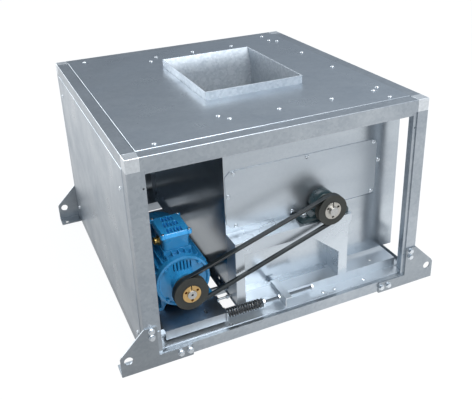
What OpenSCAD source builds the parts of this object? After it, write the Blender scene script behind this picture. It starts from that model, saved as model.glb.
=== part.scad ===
// Belt-driven centrifugal box fan: a galvanised cabinet, a double-inlet scroll with its
// wheel, a foot-mounted motor on a sprung slide plate and one V-belt.
// Shapes are drawn from the cabinet's front left bottom corner: X to the right along the
// front, Y to the back, Z up. in_cabinet() then moves them to the part's own origin, which
// lies on the floor under the middle of the part.

/* [Cabinet] */
// Width of the cabinet frame
cab_w = 800; // [780:5:900]
// Depth of the cabinet frame
cab_d = 843; // [820:1:900]
// Height of the cabinet frame
cab_h = 562; // [550:1:620]
// Side of the square frame profile
profile_s = 33; // [30:0.5:35]
// Wall of the frame profile
profile_wall = 2; // [1.5:0.5:3]
// Reach of the fin that borders each opening
fin_reach = 10; // [8:0.5:12]
// Thickness of the fin
fin_t = 1.5; // [1:0.25:2]
// Step from the outer face of the profile back to the fin
fin_set = 3; // [2:0.25:4]
// Thickness of the side, rear and top panels
panel_t = 1.5; // [1:0.25:2.5]
// Length of the corner piece's plug inside each profile
plug_len = 25; // [15:1:40]

/* [Feet] */
// Thickness of the foot plates
foot_t = 3; // [2:0.5:5]
// Reach of the lifting lug beyond the cabinet's side
lug_out = 65; // [55:1:80]
// Height of the lug's outer edge
lug_h = 50; // [45:1:60]
// Height of the foot on the corner post
foot_h = 118; // [105:1:140]
// Length of the foot's arm along the bottom rail
arm_len = 120; // [100:1:150]
// Depth of the foot's flange on the floor
foot_flange = 42; // [40:1:60]
// Lifting hole
lug_hole = 22; // [14:1:26]
// Anchor hole in the floor flange
anchor_hole = 12; // [9:1:14]

/* [Outlet] */
// Width of the outlet collar along the front
outlet_w = 288; // [270:1:296]
// Reach of the outlet collar past each side plate of the scroll
outlet_over = 12.5; // [10:0.5:20]
// Height of the collar above the cabinet
outlet_rise = 24; // [15:1:60]
// Sheet thickness of the collar
outlet_t = 2; // [1.5:0.25:3]

/* [Fan] */
// Fan shaft's distance from the cabinet's left face
fan_x = 536; // [530:1:545]
// Radius of the fan wheel
wheel_r = 129; // [120:1:132]
// Width of the fan wheel
wheel_w = 300; // [260:1:302]
// Number of blades
blades = 36; // [24:1:42]
// Gap between the wheel and each side plate of the scroll
scroll_gap = 15.5; // [15:0.5:19]
// Diameter of the fan shaft
shaft_d = 30; // [28:1:32]
// Diameter of the shaft's end in the pulley
shaft_end_d = 24; // [20:1:26]

/* [Drive] */
// Distance of the belt's middle plane behind the cabinet's front face
belt_y = 33; // [32:0.5:34]
// Pitch diameter of the fan pulley
fan_pcd = 80; // [75:1:85]
// Pitch diameter of the motor pulley
motor_pcd = 85; // [80:1:90]
// Face width of the pulleys
pulley_w = 20; // [18:0.5:21]
// Width of the belt over its top
belt_w = 13; // [11:0.5:13.5]
// Height of the belt's section
belt_h = 8; // [7:0.5:9]

/* [Motor] */
// Motor shaft's distance from the cabinet's left face
motor_x = 135; // [130:1:140]
// Height of the motor shaft above its feet
motor_h = 90; // [86:1:95]
// Radius of the motor over its fins
motor_r = 78; // [74:1:80]
// Diameter of the motor's shaft end
motor_shaft_d = 24; // [19:1:26]
// Distance of the foot holes from side to side
foot_a = 140; // [132:1:142]
// Distance of the foot holes from front to back
foot_b = 125; // [100:1:130]

/* [Belt tensioner] */
// Wire of the tension spring
spring_wire = 3.2; // [2.5:0.1:3.5]
// Outer diameter of the tension spring
spring_od = 26; // [22:0.5:26]
// Number of curls in the spring
spring_curls = 18; // [12:1:20]
// Length of the spring at the set tension
spring_len = 103; // [95:1:110]
// Diameter of the threaded rods
rod_d = 8; // [6:0.5:8]

/* [Supports] */
// Height of the trays and rails above the bottom frame
tray_rise = 29; // [26:1:31]
// Distance of the tray's front fold behind the belt's middle plane
tray_behind = 13; // [12.5:0.5:15]
// Depth of the front and rear trays
tray_depth = 104; // [98:1:120]
// Height of the bearing pedestals above the trays
pedestal_h = 189; // [180:1:195]
// Depth of the bearing pedestals
pedestal_d = 57; // [56:0.5:60]
// Height of the fan shaft above its pedestal
bearing_h = 39; // [39:0.5:44]
// Sheet thickness of walls, trays and pedestals
sheet_t = 1.5; // [1.25:0.25:2]

/* [Hidden] */

// Overrun of a cut past the face that it opens
over = 1;
// Play round a screw or bolt in its hole
hole_play = 0.3;
// Play beside parts that slot together
fit_play = 0.15;
// Radial running play of the bearings
run_play = 0.05;
// Play of a bore on its shaft
bore_play = 0.02;
// Smoothness of round parts
$fn = 64;

// Frame
rail_reach = profile_s + fin_reach;
mid_y = cab_d / 2;
fin_in = fin_set + fin_t;
fin_back = fin_reach + fit_play;
lip_hole_d = 5;
lip_hole_z = 96;
lip_hole_top = 77;
panel_gap = 1;
panel_edge = profile_s + panel_gap;

// Foot details
lug_slope_drop = 8;
lug_slope_in = 5;
post_arm_w = profile_s - panel_gap;
arm_drop = 3;
arm_h = profile_s - arm_drop;
lug_hole_in = 20;
lug_hole_out = lug_out - lug_hole_in;
lug_hole_drop = 9;
lug_hole_z = lug_h - lug_hole_drop;
anchor_side = 18;
anchor_out = lug_out - anchor_side;
anchor_back = 13;
anchor_in = foot_flange - anchor_back;
foot_bolt_d = 8;
foot_head = 13;
foot_head_h = 5.3;
foot_bolt_len = 16;
post_bolt_x = 18;
post_bolt_drop = 10;
post_bolt_pitch = 19;
post_bolt_z = foot_h - post_bolt_drop;
arm_bolt_z = 15;
arm_bolt_back = 8;
arm_bolt_pitch = 24;
arm_bolt_x = arm_len - arm_bolt_back;

// Places that many pieces share
tray_y = belt_y + tray_behind;
tray_z = profile_s + tray_rise;
wall_y = tray_y + pedestal_d;
bearing_y = tray_y + pedestal_d / 2;
shelf_z = tray_z + pedestal_h;
fan_z = shelf_z + bearing_h;
scroll_reach = 246.5;
scroll_left = fan_x - scroll_reach;
bay_gap = 24.5;
pedestal_x = scroll_left - bay_gap;
scroll_w = wheel_w + 2 * scroll_gap;
scroll_shift = 17.5;
wheel_y = mid_y + scroll_shift;
scroll_y = wheel_y - scroll_w / 2;
gusset_out = 41;
gusset_x = fan_x + gusset_out;

// Trays and rails
tab_len = 25;
tray_foot_y = 12;
mid_rail_share = 0.38;
mid_rail_lead = mid_rail_share * (cab_d - tray_y - tray_depth - wheel_y - scroll_w / 2);
mid_rail_under = 36.5;
mid_rail_y = scroll_y - mid_rail_lead;
mid_rail_d = mid_rail_lead + mid_rail_under;
window_left = 6;
window_right = 3;
window_front = 6;
window_back = 8;
tray_hole_d = 6;
tray_hole_in = 105;
tray_hole_back = 20;

// Bearings and their pedestals
block_half = 76;
block_bolt_half = 60;
block_w = 42;
block_play = 2;
block_body_r = bearing_h - block_play;
block_foot_h = 14;
ring_wall = 6;
ring_od = shaft_d + 2 * ring_wall;
insert_wall = 10;
insert_od = ring_od + 2 * insert_wall;
ring_len = 40;
bearing_bolt_d = 12;
bearing_head = 18;
bearing_head_h = 7.5;
bearing_bolt_len = 30;
shelf_right = fan_x + block_half;
pedestal_t = 3;
pedestal_flange = 25;
shelf_apron = 36;
web_leg = 92;
web_drop = 75;

// Walls of the fan's own enclosure
wall_in = 5;
wall_right = cab_w - wall_in;
wall_flange = 20;
wall_gap = 10;
top_under = cab_h - fin_set;
wall_top = top_under - sheet_t;
notch_x = cab_w - rail_reach - over;
notch_z = cab_h - rail_reach - over;
wall_hole_play = 46;
wall_hole_d = ring_od + wall_hole_play;
cover_hole_play = 4;
cover_hole_d = ring_od + cover_hole_play;
cover_t = 1.5;
cover_gap = 3;
cover_share = 0.66;
cover_x = [pedestal_x + cover_gap, gusset_x + cover_share * (wall_right - gusset_x)];
cover_low = 27;
cover_high = 137;
cover_z = [fan_z - cover_low, fan_z + cover_high];
cover_chamfer = 14;
lower_cover_out = 54;
lower_cover_x = [fan_x + lower_cover_out, cover_x[1]];
foot_strip = 13;
bay_flange = 14;
bay_hole_d = 9;
bay_hole_y = 67;
bay_hole_z = 10;

// Scroll and wheel
outlet_d = scroll_w + 2 * outlet_over;
outlet_y = wheel_y - outlet_d / 2;
outlet_left = scroll_left;
outlet_right = outlet_left + outlet_w;
outlet_drop = 29;
outlet_floor = cab_h - outlet_drop;
outlet_flange = 4;
tongue_gap = 16;
tongue_r = wheel_r + tongue_gap;
tongue_angle = acos((outlet_right - fan_x) / tongue_r);
tongue_z = fan_z + tongue_r * sin(tongue_angle);
scroll_turn = tongue_angle + 180;
scroll_growth = ln(scroll_reach / tongue_r) / scroll_turn;
scroll_steps = 44;
scroll_foot_left = 96;
scroll_foot_right = 64;
scroll_foot_w = 40;
scroll_foot_d = 24;
scroll_foot_rise = 120;
blade_depth = 25;
wheel_inner_r = wheel_r - blade_depth;
eye_lap = 8;
eye_r = wheel_inner_r + eye_lap;
cone_throat_r = wheel_inner_r - eye_lap;
cone_in = 14;
cone_t = 1.5;
blade_t = 1.2;
rim_t = 2;
rim_w = 9;
disc_t = 2.5;
hub_wall_r = 17;
hub_r = shaft_d / 2 + hub_wall_r;
hub_len = 56;

// Drive
strip_h = 5;
plate_t = 3;
motor_z_base = tray_z + strip_h + plate_t;
motor_z = motor_z_base + motor_h;
shaft_out = 18;
shaft_front = belt_y - shaft_out;
journal_back = 17;
journal_end = belt_y + journal_back;
shaft_past = 6;
belt_above_pitch = 2.75;
belt_half_angle = 18;
groove_play = 0.35;
groove_root = 3;
bush_d = 47.6;
bush_len = 25.4;
bush_out = 1.5;
bush_hole_d = 7;
bush_hole_r = 17.5;
bush_hole_depth = 12;
bush_slot = 2.5;
pulley_hub_wall = 7;
pulley_hub_back = 2.5;
fan_or = fan_pcd / 2 + belt_above_pitch;
motor_or = motor_pcd / 2 + belt_above_pitch;
centre_dx = fan_x - motor_x;
centre_dz = fan_z - motor_z;
centre_dist = sqrt(centre_dx * centre_dx + centre_dz * centre_dz);
centre_angle = atan2(centre_dz, centre_dx);
belt_lean = asin((motor_pcd - fan_pcd) / 2 / centre_dist);

// Motor
motor_shaft_out = 15;
motor_shaft_front = belt_y - motor_shaft_out;
shoulder_back = 35;
shoulder_y = belt_y + shoulder_back;
shoulder_to_foot = 56;
foot_front_y = shoulder_y + shoulder_to_foot;
shield_depth = 32;
frame_front = shoulder_y + shield_depth;
frame_over_feet = 43;
frame_len = foot_b + frame_over_feet;
fin_rise = 10;
frame_core_r = motor_r - fin_rise;
fin_count = 28;
motor_fin_t = 2.6;
foot_pad_t = 9;
foot_pad_w = 34;
foot_pad_over = 16;
foot_hole_d = 10;
shield_in = 6;
shield_r = motor_r - shield_in;
shield_hub_r = 30;
shield_lip = 6;
cowl_len = 70;
cowl_t = 1.5;
box_w = 74;
box_back = 13;
box_len = 92;
box_y = frame_front + box_back;
box_seat = 1;
box_h = 37;
box_top = motor_z + motor_r + box_seat + box_h;
box_wall = 4;
lid_h = 12;
lid_over = 2;
motor_bolt_d = 8;
motor_head = 13;
motor_head_h = 5.3;

// Slide plate
plate_left = 5;
plate_right = 18;
plate_x = [motor_x - foot_a / 2 - plate_left, motor_x + foot_a / 2 + plate_right];
plate_lead = 22;
plate_apron = 26;
strip_w = 18;
strip_back = 22;
strip_y = [tray_y + strip_back, mid_rail_y + (mid_rail_d - strip_w) / 2];
plate_behind_strip = 12;
plate_behind_feet = 51;
plate_y = [tray_y - plate_lead, max(strip_y[1] + strip_w + plate_behind_strip,
    foot_front_y + foot_b + plate_behind_feet)];
guide_ahead = 15;
guide_y = wall_y - guide_ahead;
guide_d = 6;
guide_af = 10;
guide_nut_t = 5;
guide_lift = 0.3;
guide_rise = guide_af / 2 + guide_lift;
guide_z = tray_z + guide_rise;
guide_lug_w = 16;
guide_past = 27;
guide_right = pedestal_x + guide_past;
stop_gap = 8.5;

// Tensioner
rod_gap = 0.7;
rod_y = tray_y - spring_od / 2 - rod_gap;
rod_drop = 1.4;
rod_z = tray_z - rod_drop;
rod_play = 0.6;
lug_t = 4;
lug_w = 25;
lug_low = 16;
lug_high = 10;
spring_x = plate_x[1] + lug_t;
spring_end = spring_x + spring_len;
bracket_past = 55;
bracket_x = spring_end + bracket_past;
bracket_front = 2;
bracket_end = wall_y - foot_strip - fit_play;
bracket_w = 20;
bracket_t = 3;
bracket_high = 13;
bracket_top = tray_z + bracket_high;
bracket_drop = 14;
bracket_low = tray_z - bracket_drop;
rod_before = 18;
rod_left = plate_x[1] - rod_before;
rod_past = 100;
rod_right = bracket_x + rod_past;
washer_t = 2;
washer_d = spring_od - washer_t / 2;
nut_over = 5;
nut_af = rod_d + nut_over;
nut_t = 6.5;

// Sheet screws
screw_d = 5;
screw_head = 10;
screw_head_h = 2.6;
screw_len = 6;
screw_head_r = (screw_head * screw_head / 4 + screw_head_h * screw_head_h)
    / (2 * screw_head_h);

module in_cabinet() {
    translate([-cab_w / 2, -cab_d / 2, foot_t]) children();
}

// A flat outline in X and Z, thickened along Y from y0
module slab_y(y0, t) {
    translate([0, y0 + t, 0]) rotate([90, 0, 0]) linear_extrude(t) children();
}

// A flat outline in Y and Z, thickened along X from x0
module slab_x(x0, t) {
    translate([x0, 0, 0]) rotate([90, 0, 90]) linear_extrude(t) children();
}

// A round bar along Y
module bar_y(x, y0, z, d, len) {
    translate([x, y0, z]) rotate([-90, 0, 0]) cylinder(d = d, h = len);
}

// A round bar along X
module bar_x(x0, y, z, d, len) {
    translate([x0, y, z]) rotate([0, 90, 0]) cylinder(d = d, h = len);
}

// A turned shape about an axis along Y
module turned_y(x, y0, z) {
    translate([x, y0, z]) rotate([-90, 0, 0]) rotate_extrude() children();
}

module rect(a, b) {
    translate([a[0], a[1]]) square([b[0] - a[0], b[1] - a[1]]);
}

// Moves a child to the mirrored place across the cabinet's depth
module rear_twin() {
    translate([0, cab_d, 0]) mirror([0, 1, 0]) children();
}

module right_twin() {
    translate([cab_w, 0, 0]) mirror([1, 0, 0]) children();
}

// Section of the frame profile, with its outer corner at the origin
module profile_section(side_fin, up_fin) {
    inner = profile_s - 2 * profile_wall;
    difference() {
        square(profile_s);
        translate([profile_wall, profile_wall]) square(inner);
    }
    if (side_fin) translate([profile_s, fin_set]) square([fin_reach, fin_t]);
    if (up_fin) up_fin_section();
}

// The fin that points up, rooted in the profile's wall
module up_fin_section() {
    root = profile_wall / 2;
    translate([fin_set, profile_s - root]) square([fin_t, fin_reach + root]);
}

// Bolt holes of one foot through the corner post and the bottom rail
module foot_bolt_places() {
    for (z = [post_bolt_z - post_bolt_pitch, post_bolt_z])
        translate([post_bolt_x, 0, z]) children();
    for (x = [arm_bolt_x - arm_bolt_pitch, arm_bolt_x])
        translate([x, 0, arm_bolt_z]) children();
}

module foot_bolt_holes() {
    reach = foot_t + 2 * profile_wall + over;
    foot_bolt_places() bar_y(0, -foot_t - over, 0, foot_bolt_d + 2 * hole_play, reach);
}

module post() {
    difference() {
        translate([0, 0, profile_s]) linear_extrude(cab_h - 2 * profile_s)
            profile_section(true, true);
        foot_bolt_holes();
        for (z = [lip_hole_z, cab_h - lip_hole_top]) bar_y(rail_reach - fin_reach / 2 - over,
            0, z, lip_hole_d, profile_s);
    }
}

module front_left_post() {
    color("lightgray") in_cabinet() post();
}

module front_right_post() {
    color("lightgray") in_cabinet() right_twin() post();
}

module rear_left_post() {
    color("lightgray") in_cabinet() rear_twin() post();
}

module rear_right_post() {
    color("lightgray") in_cabinet() rear_twin() right_twin() post();
}

// A rail along the front, at the bottom, with one fin inwards and one upwards. The fin in
// the plane of the posts stops short of their fins.
module rail_x(up_fin) {
    len = cab_w - 2 * profile_s;
    slab_x(profile_s, len) profile_section(true, false);
    if (up_fin) slab_x(profile_s + fin_back, len - 2 * fin_back) up_fin_section();
}

// A rail along the left side, whose fins both stop short of the other profiles' fins
module rail_y() {
    len = cab_d - 2 * profile_s;
    slab_y(profile_s, len) profile_section(false, false);
    slab_y(profile_s + fin_back, len - 2 * fin_back) {
        up_fin_section();
        mirror([1, -1]) up_fin_section();
    }
}

module top_up() {
    translate([0, 0, cab_h]) mirror([0, 0, 1]) children();
}

module top_front_rail() {
    color("lightgray") in_cabinet() top_up() rail_x(true);
}

module top_rear_rail() {
    color("lightgray") in_cabinet() rear_twin() top_up() rail_x(true);
}

module top_left_rail() {
    color("lightgray") in_cabinet() top_up() rail_y();
}

module top_right_rail() {
    color("lightgray") in_cabinet() right_twin() top_up() rail_y();
}

module bottom_x_rail() {
    difference() {
        rail_x(false);
        foot_bolt_holes();
        right_twin() foot_bolt_holes();
    }
}

module bottom_front_rail() {
    color("lightgray") in_cabinet() difference() {
        bottom_x_rail();
        tray_screw_places() translate([0, 0, -2 * screw_len])
            cylinder(d = screw_d + 2 * hole_play, h = 2 * screw_len + over);
    }
}

module bottom_rear_rail() {
    color("lightgray") in_cabinet() rear_twin() bottom_x_rail();
}

module bottom_left_rail() {
    color("lightgray") in_cabinet() rail_y();
}

module bottom_right_rail() {
    color("lightgray") in_cabinet() right_twin() rail_y();
}

// One cast corner: a cube with a plug into each of the three profiles
module corner_piece() {
    plug_in = profile_wall + fit_play;
    plug_w = profile_s - 2 * plug_in;
    cube(profile_s);
    translate([profile_s - over, plug_in, plug_in]) cube([plug_len + over, plug_w, plug_w]);
    translate([plug_in, profile_s - over, plug_in]) cube([plug_w, plug_len + over, plug_w]);
    translate([plug_in, plug_in, profile_s - over]) cube([plug_w, plug_w, plug_len + over]);
}

module corner_pieces() {
    color("gainsboro") in_cabinet() {
        corner_piece();
        right_twin() corner_piece();
        rear_twin() corner_piece();
        rear_twin() right_twin() corner_piece();
        top_up() corner_piece();
        right_twin() top_up() corner_piece();
        rear_twin() top_up() corner_piece();
        rear_twin() right_twin() top_up() corner_piece();
    }
}

// A bent foot: an upright plate with the lifting lug, and a flange on the floor
module foot() {
    difference() {
        union() {
            slab_y(-foot_t, foot_t) polygon([
                [-lug_out, -foot_t], [arm_len, -foot_t], [arm_len, arm_h],
                [post_arm_w, arm_h], [post_arm_w, foot_h], [0, foot_h],
                [-lug_out + lug_slope_in, lug_h + lug_slope_drop], [-lug_out, lug_h]]);
            translate([-lug_out, -foot_t, -foot_t])
                cube([lug_out + arm_len, foot_t + foot_flange, foot_t]);
        }
        bar_y(-lug_hole_out, -foot_t - over, lug_hole_z, lug_hole, foot_t + 2 * over);
        translate([-anchor_out, anchor_in, -foot_t - over])
            cylinder(d = anchor_hole, h = foot_t + 2 * over);
        foot_bolt_holes();
    }
}

module front_left_foot() {
    color("silver") in_cabinet() foot();
}

module front_right_foot() {
    color("silver") in_cabinet() right_twin() foot();
}

module rear_left_foot() {
    color("silver") in_cabinet() rear_twin() foot();
}

module rear_right_foot() {
    color("silver") in_cabinet() rear_twin() right_twin() foot();
}

// A hexagon-headed bolt along +Y, with the underside of its head at y = 0
module hex_bolt(d, head, head_h, len) {
    translate([0, -head_h, 0]) rotate([-90, 0, 0]) cylinder(d = head / cos(30), h = head_h,
        $fn = 6);
    bar_y(0, -over, 0, d, len + over);
}

module foot_bolt_set() {
    foot_bolt_places() translate([0, -foot_t, 0])
        hex_bolt(foot_bolt_d, foot_head, foot_head_h, foot_bolt_len);
}

module foot_bolts() {
    color("gainsboro") in_cabinet() {
        foot_bolt_set();
        right_twin() foot_bolt_set();
        rear_twin() foot_bolt_set();
        rear_twin() right_twin() foot_bolt_set();
    }
}

// Places of the screws through the top panel into the walls below it, as shares of the
// walls' lengths
front_row_shares = [0.057, 0.332, 0.642, 0.904];
rear_row_shares = [0.079, 0.336, 0.621, 0.912];
left_row_shares = [0.028, 0.956];
right_row_shares = [0.013, 0.387, 0.692, 0.982];
corner_screw_in = 52;
corner_screw_x = 84;
right_row_in = 67;
right_row_x = cab_w - right_row_in;
row_in = wall_flange / 2;
strip_front = wall_y + wall_flange + fit_play;
flange_front = strip_front + sheet_t;

function along_wall(share) = pedestal_x + share * (notch_x - pedestal_x);

module top_screw_places() {
    for (share = front_row_shares) translate([along_wall(share), wall_y + row_in, top_under])
        children();
    for (share = rear_row_shares) translate([along_wall(share), cab_d - wall_y - row_in,
        top_under]) children();
    for (share = left_row_shares) translate([pedestal_x + row_in,
        flange_front + share * (cab_d - 2 * flange_front), top_under]) children();
    for (x = [corner_screw_x, cab_w - corner_screw_x], y = [corner_screw_in,
        cab_d - corner_screw_in]) translate([x, y, top_under]) children();
}

module top_screw_holes() {
    top_screw_places() translate([0, 0, -screw_len])
        cylinder(d = screw_d + 2 * hole_play, h = screw_len + panel_t + over);
}

module top_panel() {
    color("silver") in_cabinet() difference() {
        translate([panel_edge, panel_edge, top_under])
            cube([cab_w - 2 * panel_edge, cab_d - 2 * panel_edge, panel_t]);
        translate([outlet_left - fit_play, outlet_y - fit_play, top_under - over])
            cube([outlet_w + 2 * fit_play, outlet_d + 2 * fit_play, panel_t + 2 * over]);
        top_screw_holes();
        right_row_screw_holes();
    }
}

module right_row_places() {
    for (share = right_row_shares) translate([right_row_x,
        strip_front + share * (cab_d - 2 * strip_front), top_under]) children();
}

module right_row_screw_holes() {
    right_row_places() translate([0, 0, -over])
        cylinder(d = screw_d + 2 * hole_play, h = panel_t + 2 * over);
}

side_screw_in = 63;
side_screw_low = 62;
side_screw_drop = 95;

module side_screw_places() {
    for (y = [side_screw_in, cab_d - side_screw_in], z = [side_screw_low,
        cab_h - side_screw_drop])
        translate([fin_in, y, z]) children();
}

// A sheet behind the fins of the left opening
module left_panel() {
    color("silver") in_cabinet() difference() {
        translate([fin_in, panel_edge, panel_edge])
            cube([panel_t, cab_d - 2 * panel_edge, cab_h - 2 * panel_edge]);
        side_screw_places() bar_x(-over, 0, 0, screw_d + 2 * hole_play, panel_t + 2 * over);
    }
}

module rear_panel() {
    color("silver") in_cabinet() rear_twin() translate([panel_edge, fin_in, panel_edge])
        cube([cab_w - 2 * panel_edge, panel_t, cab_h - 2 * panel_edge]);
}

// The outlet duct: a rectangular tube with a ledge inside at its foot, which covers the
// step down to the narrower scroll, and a flange under the top panel
module outlet_collar() {
    tube_h = cab_h + outlet_rise - outlet_floor;
    color("silver") in_cabinet() difference() {
        union() {
            translate([outlet_left, outlet_y, outlet_floor]) cube([outlet_w, outlet_d, tube_h]);
            translate([outlet_left - outlet_flange, outlet_y - outlet_flange,
                top_under - outlet_t])
                cube([outlet_w + 2 * outlet_flange, outlet_d + 2 * outlet_flange, outlet_t]);
        }
        translate([outlet_left + outlet_t, outlet_y + outlet_t, outlet_floor + outlet_t])
            cube([outlet_w - 2 * outlet_t, outlet_d - 2 * outlet_t, tube_h]);
        translate([outlet_left + outlet_t, scroll_y, outlet_floor - over])
            cube([outlet_w - 2 * outlet_t, scroll_w, outlet_t + 2 * over]);
        ledge_screw_places() cylinder(d = screw_d + 2 * hole_play, h = 2 * screw_len,
            center = true);
    }
}

ledge_screw_shares = [0.175, 0.498, 0.825];

module ledge_screw_places() {
    in = (outlet_d - scroll_w + 2 * outlet_t) / 4 + outlet_t / 2;
    for (share = ledge_screw_shares, y = [outlet_y + in, outlet_y + outlet_d - in])
        translate([outlet_left + share * outlet_w, y, outlet_floor + outlet_t]) children();
}

// A domed sheet screw that points down, with the underside of its head at z = 0
module sheet_screw() {
    translate([0, 0, -screw_len]) cylinder(d = screw_d, h = screw_len + screw_head_h / 2);
    rotate_extrude() intersection() {
        translate([0, screw_head_h - screw_head_r]) circle(r = screw_head_r);
        square([screw_head, screw_head_h]);
    }
}
cover_screw_in = 7;
cover_top_left = 23;
cover_top_mid = 34;
cover_low_left = 25;
cover_low_mid = 78;
cover_right = 11;
cover_side_share = 0.58;
wall_screw_out = 8;
wall_screw_share = 0.6;
lower_screw_shares = [0.33, 0.79];
tray_screw_shares = [0.644, 0.69, 0.81];
tray_screw_y = 28;

module cover_screw_places() {
    for (x = [cover_x[0] + cover_top_left, fan_x - cover_top_mid, cover_x[1] - cover_right])
        translate([x, 0, cover_z[1] - cover_screw_in]) children();
    for (x = [cover_x[0] + cover_low_left, fan_x - cover_low_mid, cover_x[1] - cover_right])
        translate([x, 0, cover_z[0] + cover_screw_in]) children();
    translate([cover_x[0] + cover_screw_in, 0, cover_place_z(cover_side_share)]) children();
}

function cover_place_z(share) = cover_z[0] + share * (cover_z[1] - cover_z[0]);

module wall_screw_place() {
    translate([cover_x[1] + wall_screw_out, 0, cover_place_z(wall_screw_share)]) children();
}

module lower_screw_place() {
    translate([
        lower_cover_x[0] + lower_screw_shares[0] * (lower_cover_x[1] - lower_cover_x[0]), 0,
        tray_z + lower_screw_shares[1] * (cover_z[0] - tray_z)]) children();
}

module tray_screw_places() {
    for (share = tray_screw_shares) translate([share * cab_w, tray_screw_y,
        profile_s + sheet_t]) children();
}

module screw_holes_y(y0, len) {
    bar_y(0, y0, 0, screw_d + 2 * hole_play, len);
}

module sheet_screws() {
    color("gainsboro") in_cabinet() {
        translate([0, 0, panel_t]) top_screw_places() sheet_screw();
        translate([0, 0, panel_t]) right_row_places() sheet_screw();
        side_screw_places() rotate([0, -90, 0]) sheet_screw();
        ledge_screw_places() sheet_screw();
        translate([0, wall_y - cover_t, 0]) {
            cover_screw_places() rotate([90, 0, 0]) sheet_screw();
            lower_screw_place() rotate([90, 0, 0]) sheet_screw();
        }
        translate([0, wall_y, 0]) wall_screw_place() rotate([90, 0, 0]) sheet_screw();
        tray_screw_places() sheet_screw();
    }
}

// The sheet wall behind the drive, with its flange under the top panel
module drive_wall() {
    color("silver") in_cabinet() difference() {
        union() {
            slab_y(wall_y, sheet_t) polygon([
                [pedestal_x, tray_z], [gusset_x - pedestal_t, tray_z],
                [gusset_x - pedestal_t, tray_z + wall_gap], [wall_right, tray_z + wall_gap],
                [wall_right, notch_z], [notch_x, notch_z], [notch_x, wall_top],
                [pedestal_x, wall_top]]);
            translate([pedestal_x, wall_y, wall_top])
                cube([notch_x - pedestal_x, wall_flange, sheet_t]);
            translate([guide_right + foot_strip, wall_y - foot_strip, tray_z])
                cube([gusset_x - guide_right - pedestal_t - 2 * foot_strip,
                    foot_strip + over, sheet_t]);
        }
        bar_y(fan_x, wall_y - over, fan_z, wall_hole_d, sheet_t + 2 * over);
        cover_screw_places() screw_holes_y(wall_y - over, sheet_t + 2 * over);
        lower_screw_place() screw_holes_y(wall_y - over, sheet_t + 2 * over);
        wall_screw_place() screw_holes_y(wall_y - over, sheet_t + 2 * over);
        top_screw_holes();
    }
}

// The wall between the motor bay and the fan
module bay_side_wall() {
    inner = flange_front - wall_flange;
    len = cab_d - 2 * inner;
    color("silver") in_cabinet() difference() {
        union() {
            translate([pedestal_x, inner, tray_z])
                cube([sheet_t, len, wall_top - tray_z - fit_play]);
            slab_y(inner + wall_flange, len - 2 * wall_flange) polygon([
                [pedestal_x, wall_top - sheet_t], [pedestal_x + sheet_t, wall_top - sheet_t],
                [pedestal_x + sheet_t, wall_top], [pedestal_x + wall_flange, wall_top],
                [pedestal_x + wall_flange, top_under], [pedestal_x, top_under]]);
            translate([pedestal_x - bay_flange, inner + wall_flange, tray_z])
                cube([bay_flange + sheet_t, len - 2 * wall_flange, sheet_t]);
        }
        top_screw_holes();
        bar_x(pedestal_x - over, wall_y + bay_hole_y, tray_z + bay_hole_z, bay_hole_d,
            sheet_t + 2 * over);
    }
}

module rear_wall() {
    color("silver") in_cabinet() rear_twin() difference() {
        union() {
            slab_y(wall_y, sheet_t) polygon([
                [pedestal_x, tray_z], [wall_right, tray_z],
                [wall_right, notch_z], [notch_x, notch_z], [notch_x, wall_top],
                [pedestal_x, wall_top]]);
            translate([pedestal_x, wall_y, wall_top])
                cube([notch_x - pedestal_x, wall_flange, sheet_t]);
        }
        bar_y(fan_x, wall_y - over, fan_z, wall_hole_d, sheet_t + 2 * over);
        rear_twin() top_screw_holes();
    }
}

// The screwed cover round the shaft
module shaft_cover() {
    c = cover_chamfer;
    color("silver") in_cabinet() difference() {
        slab_y(wall_y - cover_t, cover_t) polygon([
            [cover_x[0] + c, cover_z[0]], [cover_x[1] - c, cover_z[0]],
            [cover_x[1], cover_z[0] + c], [cover_x[1], cover_z[1] - c],
            [cover_x[1] - c, cover_z[1]], [cover_x[0] + c, cover_z[1]],
            [cover_x[0], cover_z[1] - c], [cover_x[0], cover_z[0] + c]]);
        bar_y(fan_x, wall_y - cover_t - over, fan_z, cover_hole_d, cover_t + 2 * over);
        cover_screw_places() screw_holes_y(wall_y - cover_t - over, cover_t + 2 * over);
    }
}

module lower_cover() {
    color("silver") in_cabinet() difference() {
        translate([lower_cover_x[0], wall_y - cover_t, tray_z + wall_gap])
            cube([lower_cover_x[1] - lower_cover_x[0], cover_t,
                cover_z[0] - cover_gap - tray_z - wall_gap]);
        lower_screw_place() screw_holes_y(wall_y - cover_t - over, cover_t + 2 * over);
        translate([lower_cover_x[0] - over, wall_y - cover_t - over,
            shelf_z - pedestal_t - fit_play])
            cube([shelf_right - lower_cover_x[0] + over + fit_play, cover_t + 2 * over,
                pedestal_t + 2 * fit_play]);
    }
}

// A bent cross member: a top sheet with two aprons and tabs on the side rails
module cross_member(y0, depth) {
    tab_y = y0 + depth - tab_len;
    len = cab_w - 2 * profile_s;
    translate([profile_s, y0, tray_z - sheet_t]) cube([len, depth, sheet_t]);
    for (y = [y0, y0 + depth - sheet_t]) translate([profile_s, y, profile_s])
        cube([len, sheet_t, tray_rise]);
    for (x = [profile_s - tab_len, cab_w - profile_s - over], y = [y0, tab_y])
        translate([x, y, profile_s]) cube([tab_len + over, tab_len, sheet_t]);
}

// An angle under the top panel along its right screw row
module roof_strip() {
    len = cab_d - 2 * strip_front;
    color("silver") in_cabinet() difference() {
        union() {
            translate([right_row_x - row_in, strip_front, wall_top])
                cube([wall_flange, len, sheet_t]);
            translate([right_row_x - row_in, strip_front, top_under - wall_flange])
                cube([sheet_t, len, wall_flange]);
        }
        right_row_places() translate([0, 0, -screw_len])
            cylinder(d = screw_d + 2 * hole_play, h = screw_len + panel_t + over);
    }
}

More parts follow.
